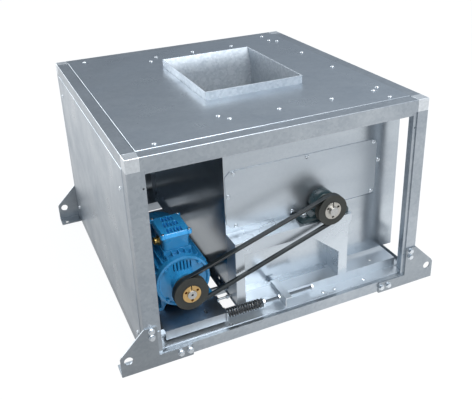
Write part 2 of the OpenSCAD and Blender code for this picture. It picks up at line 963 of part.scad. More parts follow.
module front_tray() {
    len = cab_w - 2 * profile_s;
    color("silver") in_cabinet() difference() {
        union() {
            cross_member(tray_y, tray_depth);
            translate([profile_s, tray_foot_y, profile_s])
                cube([len, tray_y - tray_foot_y + over, sheet_t]);
        }
        translate([plate_x[1] + window_left, tray_y + window_front, tray_z - sheet_t - over])
            cube([pedestal_x - window_right - plate_x[1] - window_left,
                tray_depth - window_front - window_back, sheet_t + 2 * over]);
        translate([cab_w - tray_hole_in, tray_y + tray_hole_back, tray_z - sheet_t - over])
            cylinder(d = tray_hole_d, h = sheet_t + 2 * over);
        tray_screw_places() translate([0, 0, -sheet_t - over])
            cylinder(d = screw_d + 2 * hole_play, h = sheet_t + 2 * over);
    }
}

module middle_rails() {
    color("silver") in_cabinet() {
        cross_member(mid_rail_y, mid_rail_d);
        cross_member(2 * wheel_y - mid_rail_y - mid_rail_d, mid_rail_d);
    }
}

module rear_tray() {
    color("silver") in_cabinet() rear_twin() cross_member(tray_y, tray_depth);
}

module bearing_bolt_places() {
    for (x = [fan_x - block_bolt_half, fan_x + block_bolt_half])
        translate([x, bearing_y, shelf_z + block_foot_h]) children();
}

// The bent stand that carries a bearing in front of its wall
module pedestal() {
    front = tray_y;
    depth = pedestal_d;
    t = pedestal_t;
    difference() {
        union() {
            translate([pedestal_x, front, shelf_z - t])
                cube([shelf_right - pedestal_x, depth, t]);
            for (x = [pedestal_x, gusset_x - t]) translate([x, front, tray_z])
                cube([t, depth, pedestal_h]);
            slab_y(front, t) polygon([
                [pedestal_x, tray_z], [pedestal_x + pedestal_flange, tray_z],
                [pedestal_x + pedestal_flange, shelf_z - shelf_apron],
                [gusset_x - t - web_leg, shelf_z - shelf_apron],
                [gusset_x - t, shelf_z - shelf_apron - web_drop],
                [gusset_x - t, tray_z], [gusset_x + pedestal_flange, tray_z],
                [gusset_x + pedestal_flange, shelf_z - shelf_apron],
                [shelf_right, shelf_z - shelf_apron / 2], [shelf_right, shelf_z],
                [pedestal_x, shelf_z]]);
        }
        bearing_bolt_places() translate([0, 0, -bearing_bolt_len])
            cylinder(d = bearing_bolt_d + 2 * hole_play, h = bearing_bolt_len + over);
        bar_x(pedestal_x - over, guide_y, guide_z, guide_d + 2 * rod_play,
            pedestal_t + 2 * over);
    }
}

module front_pedestal() {
    color("silver") in_cabinet() pedestal();
}

module rear_pedestal() {
    color("silver") in_cabinet() rear_twin() pedestal();
}

// A cast pillow block with the fixed ring of its bearing
module bearing_block() {
    foot_z = shelf_z;
    y0 = bearing_y - block_w / 2;
    difference() {
        union() {
            slab_y(y0, block_w) difference() {
                union() {
                    translate([fan_x, fan_z]) circle(r = block_body_r);
                    polygon([
                        [fan_x - block_half, foot_z], [fan_x + block_half, foot_z],
                        [fan_x + block_half, foot_z + block_foot_h],
                        [fan_x + block_half * block_step_share, foot_z + block_foot_h],
                        [fan_x + block_body_r * block_side_share, fan_z + block_waist],
                        [fan_x - block_body_r * block_side_share, fan_z + block_waist],
                        [fan_x - block_half * block_step_share, foot_z + block_foot_h],
                        [fan_x - block_half, foot_z + block_foot_h]]);
                }
            }
            bar_y(fan_x, y0 - seal_out, fan_z, insert_od - seal_step, block_w + 2 * seal_out);
        }
        bar_y(fan_x, y0 - seal_out - over, fan_z, ring_od + 2 * run_play,
            block_w + 2 * seal_out + 2 * over);
        bearing_bolt_places() translate([0, 0, -block_foot_h - over])
            cylinder(d = bearing_bolt_d + 2 * hole_play, h = block_foot_h + 2 * over);
    }
}
block_step_share = 0.62;
block_side_share = 0.92;
block_waist = 10;
seal_out = 2;
seal_step = 8;

module front_bearing_block() {
    color("darkslategray") in_cabinet() bearing_block();
}

module rear_bearing_block() {
    color("darkslategray") in_cabinet() rear_twin() bearing_block();
}

// The turning inner ring of a bearing, clamped on the shaft
module bearing_ring() {
    turned_y(fan_x, bearing_y - ring_len / 2 - ring_out, fan_z)
        translate([shaft_d / 2 + bore_play, 0])
        square([ring_wall - bore_play, ring_len + 2 * ring_out]);
}
ring_out = 7;

module bearing_rings() {
    color("silver") in_cabinet() {
        bearing_ring();
        rear_twin() bearing_ring();
    }
}

module bearing_bolt_set() {
    bearing_bolt_places() rotate([-90, 0, 0])
        hex_bolt(bearing_bolt_d, bearing_head, bearing_head_h, bearing_bolt_len);
}

module bearing_bolts() {
    color("gainsboro") in_cabinet() {
        bearing_bolt_set();
        rear_twin() bearing_bolt_set();
    }
}

shaft_rear = cab_d - bearing_y + ring_len / 2 + ring_out + shaft_past;

module fan_shaft() {
    color("silver") in_cabinet() {
        bar_y(fan_x, shaft_front, fan_z, shaft_end_d, journal_end - shaft_front + over);
        bar_y(fan_x, journal_end, fan_z, shaft_d, shaft_rear - journal_end);
    }
}

// Forward-curved blade: an arc between the wheel's inner and outer radius
blade_steps = 5;
blade_sweep = 150;

function blade_line(r) = [for (i = [0 : blade_steps])
    let (a = 180 - blade_sweep * i / blade_steps) [r * cos(a), r * sin(a)]];

module blade_outline() {
    span = wheel_r - rim_t - wheel_inner_r;
    outer = blade_line(span / 2 + blade_t / 2);
    inner = blade_line(span / 2 - blade_t / 2);
    translate([wheel_inner_r + span / 2, 0])
        polygon(concat(outer, [for (i = [blade_steps : -1 : 0]) inner[i]]));
}

module impeller() {
    y0 = wheel_y - wheel_w / 2;
    color("silver") in_cabinet() translate([fan_x, 0, fan_z]) {
        difference() {
            union() {
                for (i = [0 : blades - 1]) rotate([0, i * 360 / blades, 0])
                    slab_y(y0, wheel_w) blade_outline();
                for (y = [y0, y0 + wheel_w - rim_w]) turned_y(0, y, 0)
                    translate([wheel_inner_r - rim_t, 0])
                    square([wheel_r - wheel_inner_r + rim_t, rim_t]);
                for (y = [y0, y0 + wheel_w - rim_w]) turned_y(0, y, 0)
                    translate([wheel_r - rim_t, 0]) square([rim_t, rim_w]);
                bar_y(0, wheel_y - disc_t / 2, 0, 2 * (wheel_r - rim_t), disc_t);
                bar_y(0, wheel_y - hub_len / 2, 0, 2 * hub_r, hub_len);
            }
            bar_y(0, wheel_y - hub_len, 0, shaft_d + 2 * bore_play, 2 * hub_len);
        }
    }
}

// Points of the scroll's spiral, clockwise from the tongue to the outlet's left wall
function spiral(extra) = [for (i = [0 : scroll_steps])
    let (turn = scroll_turn * i / scroll_steps, a = tongue_angle - turn,
        r = tongue_r * exp(scroll_growth * turn) + extra)
    [fan_x + r * cos(a), fan_z + r * sin(a)]];

module scroll_face() {
    polygon(concat([[outlet_right, outlet_floor]], spiral(0), [[scroll_left, outlet_floor]]));
}

module scroll_wrap() {
    line = spiral(0);
    inner = spiral(-sheet_t);
    last = scroll_steps;
    color("silver") in_cabinet() slab_y(scroll_y + sheet_t, scroll_w - 2 * sheet_t)
        polygon(concat(
            [[outlet_right, outlet_floor]], line, [[scroll_left, outlet_floor]],
            [[scroll_left + sheet_t, outlet_floor]],
            [for (i = [last : -1 : 1]) inner[i]],
            [[outlet_right - sheet_t, tongue_z - sheet_t],
            [outlet_right - sheet_t, outlet_floor]]));
}

// One side plate of the scroll with its drawn inlet cone
module scroll_side() {
    slab_y(scroll_y, sheet_t) difference() {
        scroll_face();
        translate([fan_x, fan_z]) circle(r = eye_r);
    }
    turned_y(fan_x, scroll_y, fan_z) polygon([
        [eye_r, 0], [eye_r + over, 0], [eye_r + over, sheet_t],
        [cone_throat_r + cone_t, cone_in], [cone_throat_r, cone_in],
        [eye_r * cone_bell_share, cone_in * cone_bell_in_share]]);
    for (x = [fan_x - scroll_foot_left, fan_x + scroll_foot_right]) translate([x,
        scroll_y - scroll_foot_d, tray_z]) {
        cube([scroll_foot_w, scroll_foot_d, sheet_t]);
        translate([0, scroll_foot_d - over, 0]) cube([scroll_foot_w, over + sheet_t,
            scroll_foot_rise]);
    }
}
cone_bell_share = 0.92;
cone_bell_in_share = 0.35;

module scroll_front_side() {
    color("silver") in_cabinet() scroll_side();
}

module scroll_rear_side() {
    color("silver") in_cabinet() translate([0, 2 * wheel_y, 0]) mirror([0, 1, 0])
        scroll_side();
}

// Half outline of the one-groove pulley in radius and depth
module pulley_outline(outer_r) {
    half = belt_w / 2 + groove_play;
    drop = belt_h + groove_root;
    root_half = half - drop * tan(belt_half_angle);
    mid = pulley_w / 2;
    difference() {
        square([outer_r, pulley_w]);
        polygon([[outer_r + over, mid - half - over * tan(belt_half_angle)],
            [outer_r - drop, mid - root_half], [outer_r - drop, mid + root_half],
            [outer_r + over, mid + half + over * tan(belt_half_angle)]]);
    }
}

module pulley(x, z, outer_r) {
    bore = bush_d / 2 + bore_play;
    y0 = belt_y - pulley_w / 2;
    turned_y(x, y0, z) difference() {
        union() {
            pulley_outline(outer_r);
            square([bush_d / 2 + pulley_hub_wall, pulley_w + pulley_hub_back]);
        }
        translate([0, -over]) square([bore, pulley_w + pulley_hub_back + 2 * over]);
    }
}

// A slotted taper bush with its three half holes
module bush(x, z, bore) {
    y0 = belt_y - pulley_w / 2 - bush_out;
    difference() {
        bar_y(x, y0, z, bush_d, bush_len - bush_out);
        bar_y(x, y0 - over, z, bore + 2 * bore_play, bush_len + 2 * over);
        for (a = [30, 150, 270]) translate([x + bush_hole_r * cos(a), y0 - over,
            z + bush_hole_r * sin(a)]) bar_y(0, 0, 0, bush_hole_d, bush_hole_depth + over);
        translate([x - bush_slot / 2, y0 - over, z])
            cube([bush_slot, bush_len + 2 * over, bush_d]);
    }
}

module fan_pulley() {
    color("dimgray") in_cabinet() pulley(fan_x, fan_z, fan_or);
}

module fan_bush() {
    color("silver") in_cabinet() bush(fan_x, fan_z, shaft_end_d);
}

module motor_pulley() {
    color("dimgray") in_cabinet() pulley(motor_x, motor_z, motor_or);
}

module motor_bush() {
    color("goldenrod") in_cabinet() bush(motor_x, motor_z, motor_shaft_d);
}

// The V-belt: one closed ring swept round both pulleys, with straight runs between
arc_steps = 36;
belt_low_half = belt_w / 2 - belt_h * tan(belt_half_angle);

function belt_corners(c, top_r, a) = [for (q = [[0, belt_w / 2], [0, -belt_w / 2],
    [belt_h, -belt_low_half], [belt_h, belt_low_half]])
    [c[0] + (top_r - q[0]) * cos(a), belt_y + q[1], c[1] + (top_r - q[0]) * sin(a)]];
function belt_arc(c, top_r, start, sweep) = [for (i = [0 : arc_steps],
    p = belt_corners(c, top_r, start + sweep * i / arc_steps)) p];
belt_points = concat(
    belt_arc([motor_x, motor_z], motor_or, centre_angle + 90 - belt_lean,
        180 + 2 * belt_lean),
    belt_arc([fan_x, fan_z], fan_or, centre_angle - 90 + belt_lean,
        180 - 2 * belt_lean));
belt_rings = 2 * (arc_steps + 1);
belt_faces = [for (i = [0 : belt_rings - 1], k = [0 : 3], half = [0, 1])
    let (j = (i + 1) % belt_rings, a = 4 * i + k, b = 4 * i + (k + 1) % 4,
        c = 4 * j + (k + 1) % 4, d = 4 * j + k)
    half == 0 ? [a, b, c] : [a, c, d]];

module drive_belt() {
    color("black") in_cabinet()
        polyhedron(points = belt_points, faces = belt_faces, convexity = 4);
}

// The slide plate under the motor: bent down at the front, on two slide strips, with the
// lug that the spring pushes on and the welded guide pin that runs through the pedestal
module motor_plate() {
    w = plate_x[1] - plate_x[0];
    top = motor_z_base;
    color("silver") in_cabinet() difference() {
        union() {
            translate([plate_x[0], plate_y[0], top - plate_t])
                cube([w, plate_y[1] - plate_y[0], plate_t]);
            translate([plate_x[0], plate_y[0], top - plate_apron])
                cube([w, plate_t, plate_apron]);
            for (y = strip_y) translate([plate_x[0], y, tray_z])
                cube([w, strip_w, strip_h + plate_t / 2]);
            translate([plate_x[1], rod_y - lug_w / 2, tray_z - lug_low])
                cube([lug_t, lug_w, lug_low + lug_high]);
            translate([plate_x[1], guide_y - guide_lug_w / 2, guide_z - guide_rise / 2])
                cube([lug_t, guide_lug_w, guide_rise + strip_h]);
            bar_x(plate_x[1] + lug_t / 2, guide_y, guide_z, guide_d,
                guide_right - plate_x[1] - lug_t / 2);
        }
        bar_x(plate_x[1] - lug_t, rod_y, rod_z, rod_d + 2 * rod_play, 3 * lug_t);
        motor_foot_places() translate([0, 0, -plate_t - over])
            cylinder(d = motor_bolt_d + 2 * hole_play, h = plate_t + 2 * over);
        motor_foot_places() translate([0, 0, -plate_t - strip_h - over])
            cylinder(d = motor_head / cos(30) + 2 * rod_play, h = strip_h + over);
        translate([plate_x[1] - plate_slot_in, plate_y[0] + plate_slot_back,
            top - plate_t - over])
            linear_extrude(plate_t + 2 * over) plate_slot();
    }
}
plate_slot_in = 45;
plate_slot_back = 28;
plate_slot_len = 16;
plate_slot_w = 7;

module plate_slot() {
    half = (plate_slot_len - plate_slot_w) / 2;
    for (y = [-half, half]) translate([0, y]) circle(d = plate_slot_w);
    translate([-plate_slot_w / 2, -half]) square([plate_slot_w, 2 * half]);
}

module motor_foot_places() {
    for (x = [-foot_a / 2, foot_a / 2], y = [0, foot_b])
        translate([motor_x + x, foot_front_y + y, motor_z_base]) children();
}

// The cast finned frame with its feet
module motor_frame() {
    pad_y = foot_front_y - foot_pad_over;
    pad_len = foot_b + 2 * foot_pad_over;
    outer = foot_a / 2 + foot_pad_w / 2;
    base = -motor_h;
    foot_inner = foot_a / 2 - motor_head;
    color("steelblue") in_cabinet() difference() {
        union() {
            slab_y(frame_front, frame_len) translate([motor_x, motor_z]) {
                circle(r = frame_core_r);
                for (i = [0 : fin_count - 1]) rotate(i * 360 / fin_count)
                    translate([0, -motor_fin_t / 2]) square([motor_r, motor_fin_t]);
            }
            slab_y(pad_y, pad_len) translate([motor_x, motor_z]) for (side = [-1, 1])
                polygon([
                    [side * outer, base], [side * outer, base + foot_pad_t],
                    [side * foot_inner, base + foot_pad_t],
                    [side * frame_core_r * foot_high_share, -frame_core_r * foot_side_share],
                    [side * frame_core_r * foot_side_share, -frame_core_r * foot_high_share],
                    [side * (outer - foot_pad_w), base]]);
            translate([motor_x - box_w / 2, box_y, motor_z])
                cube([box_w, box_len, motor_r + box_seat]);
        }
        motor_foot_places() translate([0, 0, -over])
            cylinder(d = foot_hole_d, h = foot_pad_t + 2 * over);
        bar_y(motor_x, frame_front + cowl_shoulder, motor_z, 2 * stator_bore_r,
            frame_len - cowl_shoulder - end_wall);
        bar_y(motor_x, frame_front - over, motor_z, 2 * shaft_room_r, frame_len + 2 * over);
    }
}
foot_high_share = 0.84;
foot_side_share = 0.5;
cowl_shoulder = 4;
end_wall = 8;
stator_wall = 20;
stator_bore_r = frame_core_r - stator_wall;
shaft_shoulder = 3;
rotor_shaft_r = motor_shaft_d / 2 + shaft_shoulder;
shaft_room = 2;
shaft_room_r = rotor_shaft_r + shaft_room;

// The shield at the drive end: a dished plate with slots at the top and a raised rim
module drive_end_shield() {
    depth = frame_front - shoulder_y - shield_play;
    color("steelblue") in_cabinet() difference() {
        turned_y(motor_x, shoulder_y + shield_play, motor_z) polygon([
            [shaft_room_r, 0], [shield_hub_r, 0], [shield_hub_r + 3 * cowl_t, shield_dish],
            [shield_r - shield_lip - 2 * cowl_t, shield_dish + 2 * cowl_t],
            [shield_r - shield_lip, shield_dish - cowl_t],
            [shield_r, shield_dish], [shield_r, depth], [shaft_room_r, depth]]);
        intersection() {
            bar_y(motor_x, shoulder_y - over, motor_z, 2 * shield_slot_top, depth);
            for (i = [0 : shield_slots - 1])
                translate([motor_x + (i - (shield_slots - 1) / 2) * shield_slot_pitch
                    - shield_slot_w / 2, shoulder_y - over, motor_z + shield_slot_low])
                cube([shield_slot_w, depth + over - shield_floor, shield_slot_top]);
        }
    }
}
shield_play = 1;
shield_dish = 14;
shield_slots = 6;
shield_slot_pitch = 9;
shield_slot_w = 3.6;
shield_slot_low = 33;
shield_slot_top = 59;
shield_floor = 5;

// The cowl over the motor's own cooling fan
cowl_y = frame_front + frame_len;
cowl_under = 2;
cowl_r = motor_r - cowl_under;

module fan_cowl() {
    color("steelblue") in_cabinet() difference() {
        turned_y(motor_x, cowl_y, motor_z) polygon([
            [frame_core_r - cowl_t, 0], [cowl_r, 0], [cowl_r, cowl_len - cowl_corner],
            [cowl_r - cowl_corner, cowl_len], [0, cowl_len], [0, cowl_len - cowl_t],
            [cowl_r - cowl_corner, cowl_len - cowl_t],
            [cowl_r - cowl_t, cowl_len - cowl_corner], [cowl_r - cowl_t, cowl_t],
            [frame_core_r - cowl_t, cowl_t]]);
        for (r = cowl_rows, i = [0 : cowl_holes - 1]) translate([motor_x, 0, motor_z])
            rotate([0, i * 360 / cowl_holes, 0])
            bar_y(r * cowl_r, cowl_y + cowl_len - 2 * cowl_t, 0, cowl_hole_d, 3 * cowl_t);
    }
}
cowl_corner = 10;
cowl_rows = [0.35, 0.55, 0.75];
cowl_holes = 14;
cowl_hole_d = 8;

module cooling_fan() {
    color("dimgray") in_cabinet() translate([motor_x, 0, motor_z]) difference() {
        union() {
            bar_y(0, cowl_y + 3 * cowl_t, 0, 2 * vane_r, vane_t);
            bar_y(0, cowl_y + 3 * cowl_t, 0, 2 * vane_hub_r, vane_depth);
            for (i = [0 : vanes - 1]) rotate([0, i * 360 / vanes, 0])
                translate([vane_hub_r - over, cowl_y + 3 * cowl_t, -vane_t / 2])
                cube([vane_r - vane_hub_r, vane_depth, vane_t]);
        }
        bar_y(0, cowl_y, 0, vane_bore + 2 * bore_play, cowl_len);
    }
}
vane_room = 14;
vane_r = cowl_r - vane_room;
vane_hub_r = 15;
vane_t = 2;
vane_depth = 34;
vane_bore = 14;
vanes = 8;

// The open box on top of the motor
module terminal_box() {
    x0 = motor_x - box_w / 2;
    z0 = motor_z + motor_r + box_seat;
    color("steelblue") in_cabinet() difference() {
        translate([x0, box_y, z0]) cube([box_w, box_len, box_h]);
        translate([x0 + box_wall, box_y + box_wall, z0 + box_wall])
            cube([box_w - 2 * box_wall, box_len - 2 * box_wall, box_h]);
    }
}

module terminal_lid() {
    w = box_w + 2 * lid_over;
    d = box_len + 2 * lid_over;
    x0 = motor_x - w / 2;
    y0 = box_y - lid_over;
    color("steelblue") in_cabinet() {
        difference() {
            translate([x0, y0, box_top]) cube([w, d, lid_h]);
            translate([x0 + box_wall, y0 + box_wall, box_top - over])
                cube([w - 2 * box_wall, d - 2 * box_wall, lid_h - box_wall + over]);
        }
        for (i = [0 : lid_ribs - 1], side = lid_rib_share)
            translate([motor_x + (i - (lid_ribs - 1) / 2) * lid_rib_pitch - lid_rib_w / 2,
                y0 + side * d, box_top + lid_h - over])
            cube([lid_rib_w, lid_rib_len, lid_rib_h + over]);
    }
}
lid_ribs = 5;
lid_rib_pitch = 10;
lid_rib_w = 4;
lid_rib_len = 22;
lid_rib_h = 2;
lid_rib_share = [0.12, 0.4, 0.68];

// The motor's shaft with its rotor
module motor_shaft() {
    color("slategray") in_cabinet() difference() {
        union() {
            bar_y(motor_x, motor_shaft_front, motor_z, motor_shaft_d,
                shoulder_y - motor_shaft_front);
            bar_y(motor_x, shoulder_y - over, motor_z, 2 * rotor_shaft_r,
                frame_front + frame_len - shoulder_y);
            bar_y(motor_x, frame_front + cowl_shoulder + rotor_end, motor_z, 2 * rotor_r,
                frame_len - cowl_shoulder - end_wall - 2 * rotor_end);
            bar_y(motor_x, shoulder_y, motor_z, vane_bore, cowl_y + vane_depth - shoulder_y);
        }
        bar_y(motor_x, motor_shaft_front - over, motor_z, centre_hole_d, centre_hole_len);
    }
}
rotor_gap = 1;
rotor_r = stator_bore_r - rotor_gap;
rotor_end = 12;
centre_hole_d = 6;
centre_hole_len = 16;

// Bolts through the motor's feet with thin nuts under the slide plate, and the stop nut
// on the guide pin
module motor_bolts() {
    len = foot_pad_t + plate_t + thin_nut_t;
    color("gainsboro") in_cabinet() {
        motor_foot_places() translate([0, 0, foot_pad_t]) rotate([-90, 0, 0]) {
            hex_bolt(motor_bolt_d, motor_head, motor_head_h, len);
            translate([0, foot_pad_t + plate_t, 0]) rotate([-90, 0, 0])
                cylinder(d = motor_head / cos(30), h = thin_nut_t, $fn = 6);
        }
        nut_x(pedestal_x - stop_gap - guide_nut_t, guide_y, guide_z, guide_d, guide_af,
            guide_nut_t);
    }
}
thin_nut_t = 4;

// The angle across the tray that the tension rod pulls on
module tension_bracket() {
    hole = rod_d + 2 * hole_play;
    color("silver") in_cabinet() difference() {
        union() {
            slab_x(bracket_x, bracket_t) polygon([
                [bracket_front, bracket_low], [tray_y - fit_play, bracket_low],
                [tray_y - fit_play, tray_z], [bracket_end, tray_z],
                [bracket_end, bracket_top], [bracket_front, bracket_top]]);
            translate([bracket_x, bracket_front, bracket_top - bracket_t])
                cube([bracket_w, bracket_end - bracket_front, bracket_t]);
        }
        bar_x(bracket_x - over, rod_y, rod_z, hole, bracket_t + 2 * over);
    }
}

// A nut on a rod along X, with two of its flats level
module nut_x(x0, y, z, d, af, t) {
    translate([x0, y, z]) rotate([0, 90, 0]) rotate([0, 0, 30]) difference() {
        cylinder(d = af / cos(30), h = t, $fn = 6);
        translate([0, 0, -over]) cylinder(d = d, h = t + 2 * over);
    }
}

module rod_nut(x0) {
    nut_x(x0, rod_y, rod_z, rod_d, nut_af, nut_t);
}

module washer_x(x0, y, z) {
    translate([x0, y, z]) rotate([0, 90, 0]) difference() {
        cylinder(d = washer_d, h = washer_t);
        translate([0, 0, -over]) cylinder(d = rod_d, h = washer_t + 2 * over);
    }
}

// The threaded rod with its washer and nuts
module tension_rod() {
    color("gainsboro") in_cabinet() {
        bar_x(rod_left, rod_y, rod_z, rod_d, rod_right - rod_left);
        washer_x(spring_end, rod_y, rod_z);
        rod_nut(spring_end + washer_t);
        rod_nut(bracket_x - nut_t);
        rod_nut(bracket_x + bracket_t);
        rod_nut(rod_right - nut_t);
    }
}

// Tension spring: one round wire wound as a helix about the rod, with both ends turned
// square onto the lug and the washer for one wire diameter
curl_rings = 8;
wire_sides = 6;
spring_mean_r = (spring_od - spring_wire) / 2;
spring_rings = curl_rings * spring_curls;
wound_len = spring_len - 2 * spring_wire;
spring_pitch = wound_len / spring_curls;

function turn(t) = 360 * spring_curls * t;
function helix(t) = [spring_wire + wound_len * t,
    spring_mean_r * cos(turn(t)), spring_mean_r * sin(turn(t))];
function unit(v) = v / norm(v);
function helix_way(t) = unit([spring_pitch / (2 * PI),
    -spring_mean_r * sin(turn(t)), spring_mean_r * cos(turn(t))]);
function bent_way(t) = unit(helix_way(t) + [1, 0, 0]);
function ring_way(i) = i == 0 || i == spring_rings ? bent_way(i / spring_rings)
    : helix_way(i / spring_rings);
function wire_ring(p, way, t) = let (
    out = [0, cos(turn(t)), sin(turn(t))],
    side = cross(way, out))
    [for (k = [0 : wire_sides - 1]) p + spring_wire / 2
        * (cos(360 * k / wire_sides) * out + sin(360 * k / wire_sides) * side)];
spring_points = concat(
    wire_ring(helix(0) - [spring_wire, 0, 0], [1, 0, 0], 0),
    [for (i = [0 : spring_rings], p = wire_ring(helix(i / spring_rings), ring_way(i),
        i / spring_rings)) p],
    wire_ring(helix(1) + [spring_wire, 0, 0], [1, 0, 0], 1));
wire_count = spring_rings + 3;
spring_faces = concat(
    [for (i = [0 : wire_count - 2], k = [0 : wire_sides - 1])
        let (a = i * wire_sides + k, b = i * wire_sides + (k + 1) % wire_sides)
        [a, b, a + wire_sides]],
    [for (i = [0 : wire_count - 2], k = [0 : wire_sides - 1])
        let (a = i * wire_sides + k, b = i * wire_sides + (k + 1) % wire_sides)
        [b, b + wire_sides, a + wire_sides]],
    [for (k = [1 : wire_sides - 2]) [0, k + 1, k]],
    [for (k = [1 : wire_sides - 2]) let (s = (wire_count - 1) * wire_sides)
        [s, s + k, s + k + 1]]);
spring_gap = min([for (i = [0 : curl_rings]) let (p = helix(i / spring_rings))
    min([for (j = [i + curl_rings / 2 : i + 2 * curl_rings])
        norm(helix(j / spring_rings) - p)])]) - spring_wire;
echo(least_spring_gap = spring_gap);

module tension_spring() {
    color("black") in_cabinet() translate([spring_x, rod_y, rod_z])
        polyhedron(points = spring_points, faces = spring_faces, convexity = 10);
}

front_left_post();
front_right_post();
rear_left_post();
rear_right_post();
top_front_rail();
top_rear_rail();
top_left_rail();
top_right_rail();
bottom_front_rail();
bottom_rear_rail();
bottom_left_rail();
bottom_right_rail();
corner_pieces();
front_left_foot();
front_right_foot();
rear_left_foot();
rear_right_foot();
foot_bolts();
top_panel();
left_panel();
rear_panel();
outlet_collar();
sheet_screws();
drive_wall();
bay_side_wall();
rear_wall();
shaft_cover();
lower_cover();
roof_strip();
front_tray();
middle_rails();
rear_tray();
front_pedestal();
rear_pedestal();
front_bearing_block();
rear_bearing_block();
bearing_rings();
bearing_bolts();
fan_shaft();
impeller();
scroll_wrap();
scroll_front_side();
scroll_rear_side();
fan_pulley();
fan_bush();
motor_plate();
motor_frame();
drive_end_shield();
fan_cowl();
cooling_fan();
terminal_box();
terminal_lid();
motor_shaft();
motor_pulley();
motor_bush();
motor_bolts();
drive_belt();
tension_bracket();
tension_rod();
tension_spring();
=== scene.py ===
"""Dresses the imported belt-driven centrifugal fan: finishes, small hardware, light, camera."""

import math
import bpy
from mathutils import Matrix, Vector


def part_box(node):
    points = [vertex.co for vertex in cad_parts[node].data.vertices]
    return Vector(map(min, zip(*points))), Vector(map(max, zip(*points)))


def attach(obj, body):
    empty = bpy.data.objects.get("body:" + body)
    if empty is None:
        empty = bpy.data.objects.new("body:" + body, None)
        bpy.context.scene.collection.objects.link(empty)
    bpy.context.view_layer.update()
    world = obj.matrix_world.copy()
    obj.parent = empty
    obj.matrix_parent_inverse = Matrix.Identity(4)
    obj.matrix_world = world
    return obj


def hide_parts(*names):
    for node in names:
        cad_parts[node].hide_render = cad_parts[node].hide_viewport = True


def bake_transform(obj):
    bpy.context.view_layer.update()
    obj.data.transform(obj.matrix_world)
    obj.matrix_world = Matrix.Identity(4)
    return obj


bl_info = {
    "name": "Belt Driven Box Fan",
    "version": (1, 0, 0),
    "blender": (4, 5, 0),
    "location": "3D View > Sidebar > Box Fan",
    "description": "Builds the finishes and small pieces of a belt-driven box fan",
    "category": "Object",
}

import bmesh
import bpy
from bpy.props import FloatProperty, FloatVectorProperty, IntProperty, PointerProperty
from mathutils import Matrix, Vector

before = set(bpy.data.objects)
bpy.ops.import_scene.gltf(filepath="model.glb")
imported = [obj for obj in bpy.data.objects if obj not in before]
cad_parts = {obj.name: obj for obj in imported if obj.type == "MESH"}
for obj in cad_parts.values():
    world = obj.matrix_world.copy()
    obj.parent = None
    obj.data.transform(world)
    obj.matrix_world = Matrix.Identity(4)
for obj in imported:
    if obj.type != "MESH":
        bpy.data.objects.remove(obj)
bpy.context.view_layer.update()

MM = 0.001
X_AXIS = Vector((1, 0, 0))
Y_AXIS = Vector((0, 1, 0))
Z_AXIS = Vector((0, 0, 1))

CABINET_WIDTH = 800 * MM
CABINET_DEPTH = 843 * MM
# Thickness of the bent plate of each foot, which the cabinet stands on
FOOT_PLATE = 3 * MM
# The bolts of a foot: in from the cabinet's side, and up from its underside
FOOT_BOLT_PLACES = ((18 * MM, 89 * MM), (18 * MM, 108 * MM), (88 * MM, 15 * MM),
                    (112 * MM, 15 * MM))

# How far the panels' faces stand out over the CAD sheets, where the side panels' backs are,
# and the radius of the panels' rims
PANEL_LIFT = 2.8 * MM
SIDE_LIFT = 5.8 * MM
SIDE_BACK = 1.5 * MM
PANEL_RIM = 1.3 * MM

# The outlet: the flange that the CAD collar has round its duct, the folded sheet, where the
# lining bends over the collar's foot, and how deep it reaches
OUTLET_FLANGE = 4 * MM
OUTLET_SHEET = 2 * MM
LINING_BEND = 3 * MM
LINING_DEPTH = 92 * MM

# The belt's section: width at the back, depth, lean of the flanks and cut of the corners
BELT_WIDTH = 13 * MM
BELT_DEPTH = 8 * MM
BELT_LEAN = math.tan(math.radians(18))
BELT_CUT = 0.8 * MM

# Bearing housings: the height at which the bolts sit, how far the bolts' middles are inside
# the ends of their node, and the radii of the arch and the bore
BEARING_SEAT = 14 * MM
BEARING_BOLT_INSET = 10 * MM
BEARING_ARCH = 36 * MM
BEARING_BORE = 21.1 * MM

# The tension rod: radii of its thread's crest and root and of its ends, its washer's inner
# and outer radius and thickness, and the sheet of the bracket between its nuts
THREAD_CREST = 3.9 * MM
THREAD_ROOT = 3.3 * MM
ROD_END = 3.2 * MM
TENSION_WASHER = (4 * MM, 12.5 * MM, 2 * MM)
BRACKET_SHEET = 3 * MM

# The motor: its shaft over its plate, the thickness of its feet, its bolts beside the shaft
# and along it, how far the nuts are under the bolts' heads, and the place of the guide pin's
# stop nut. MOTOR_BOLT_Y and STOP_NUT_PLACE are in the frame's metres.
SHAFT_HEIGHT = 90 * MM
MOTOR_FOOT = 9 * MM
MOTOR_BOLT_X = 70 * MM
MOTOR_BOLT_Y = (-0.2975, -0.1725)
NUT_DEPTH = 12 * MM
STOP_NUT_PLACE = (-0.1485, -0.3335, 0.0703)

# The shield's bolts: the radius that they stand on, and how far they are behind the shield's
# foremost face
SHIELD_BOLT_RADIUS = 63 * MM
SHIELD_BOLT_DEPTH = 15.2 * MM

# Bolts: width over the flats, height of the head, radius of the shank, length, and radius
# of the washer
BEARING_BOLT = (18 * MM, 7.5 * MM, 6 * MM, 28 * MM, 11 * MM)
MOTOR_BOLT = (13 * MM, 5.3 * MM, 4 * MM, 12 * MM, 8 * MM)
SHIELD_BOLT = (8 * MM, 4 * MM, 2.5 * MM, 8 * MM, 5 * MM)
FOOT_BOLT = (13 * MM, 5.3 * MM, 4 * MM, 16 * MM, 8.5 * MM)

# Nuts: width over the flats and height
MOTOR_NUT = (13 * MM, 4 * MM)
STOP_NUT = (10 * MM, 5 * MM)
TENSION_NUT = (13 * MM, 6.5 * MM)
GLAND_NUT = (22 * MM, 6 * MM)

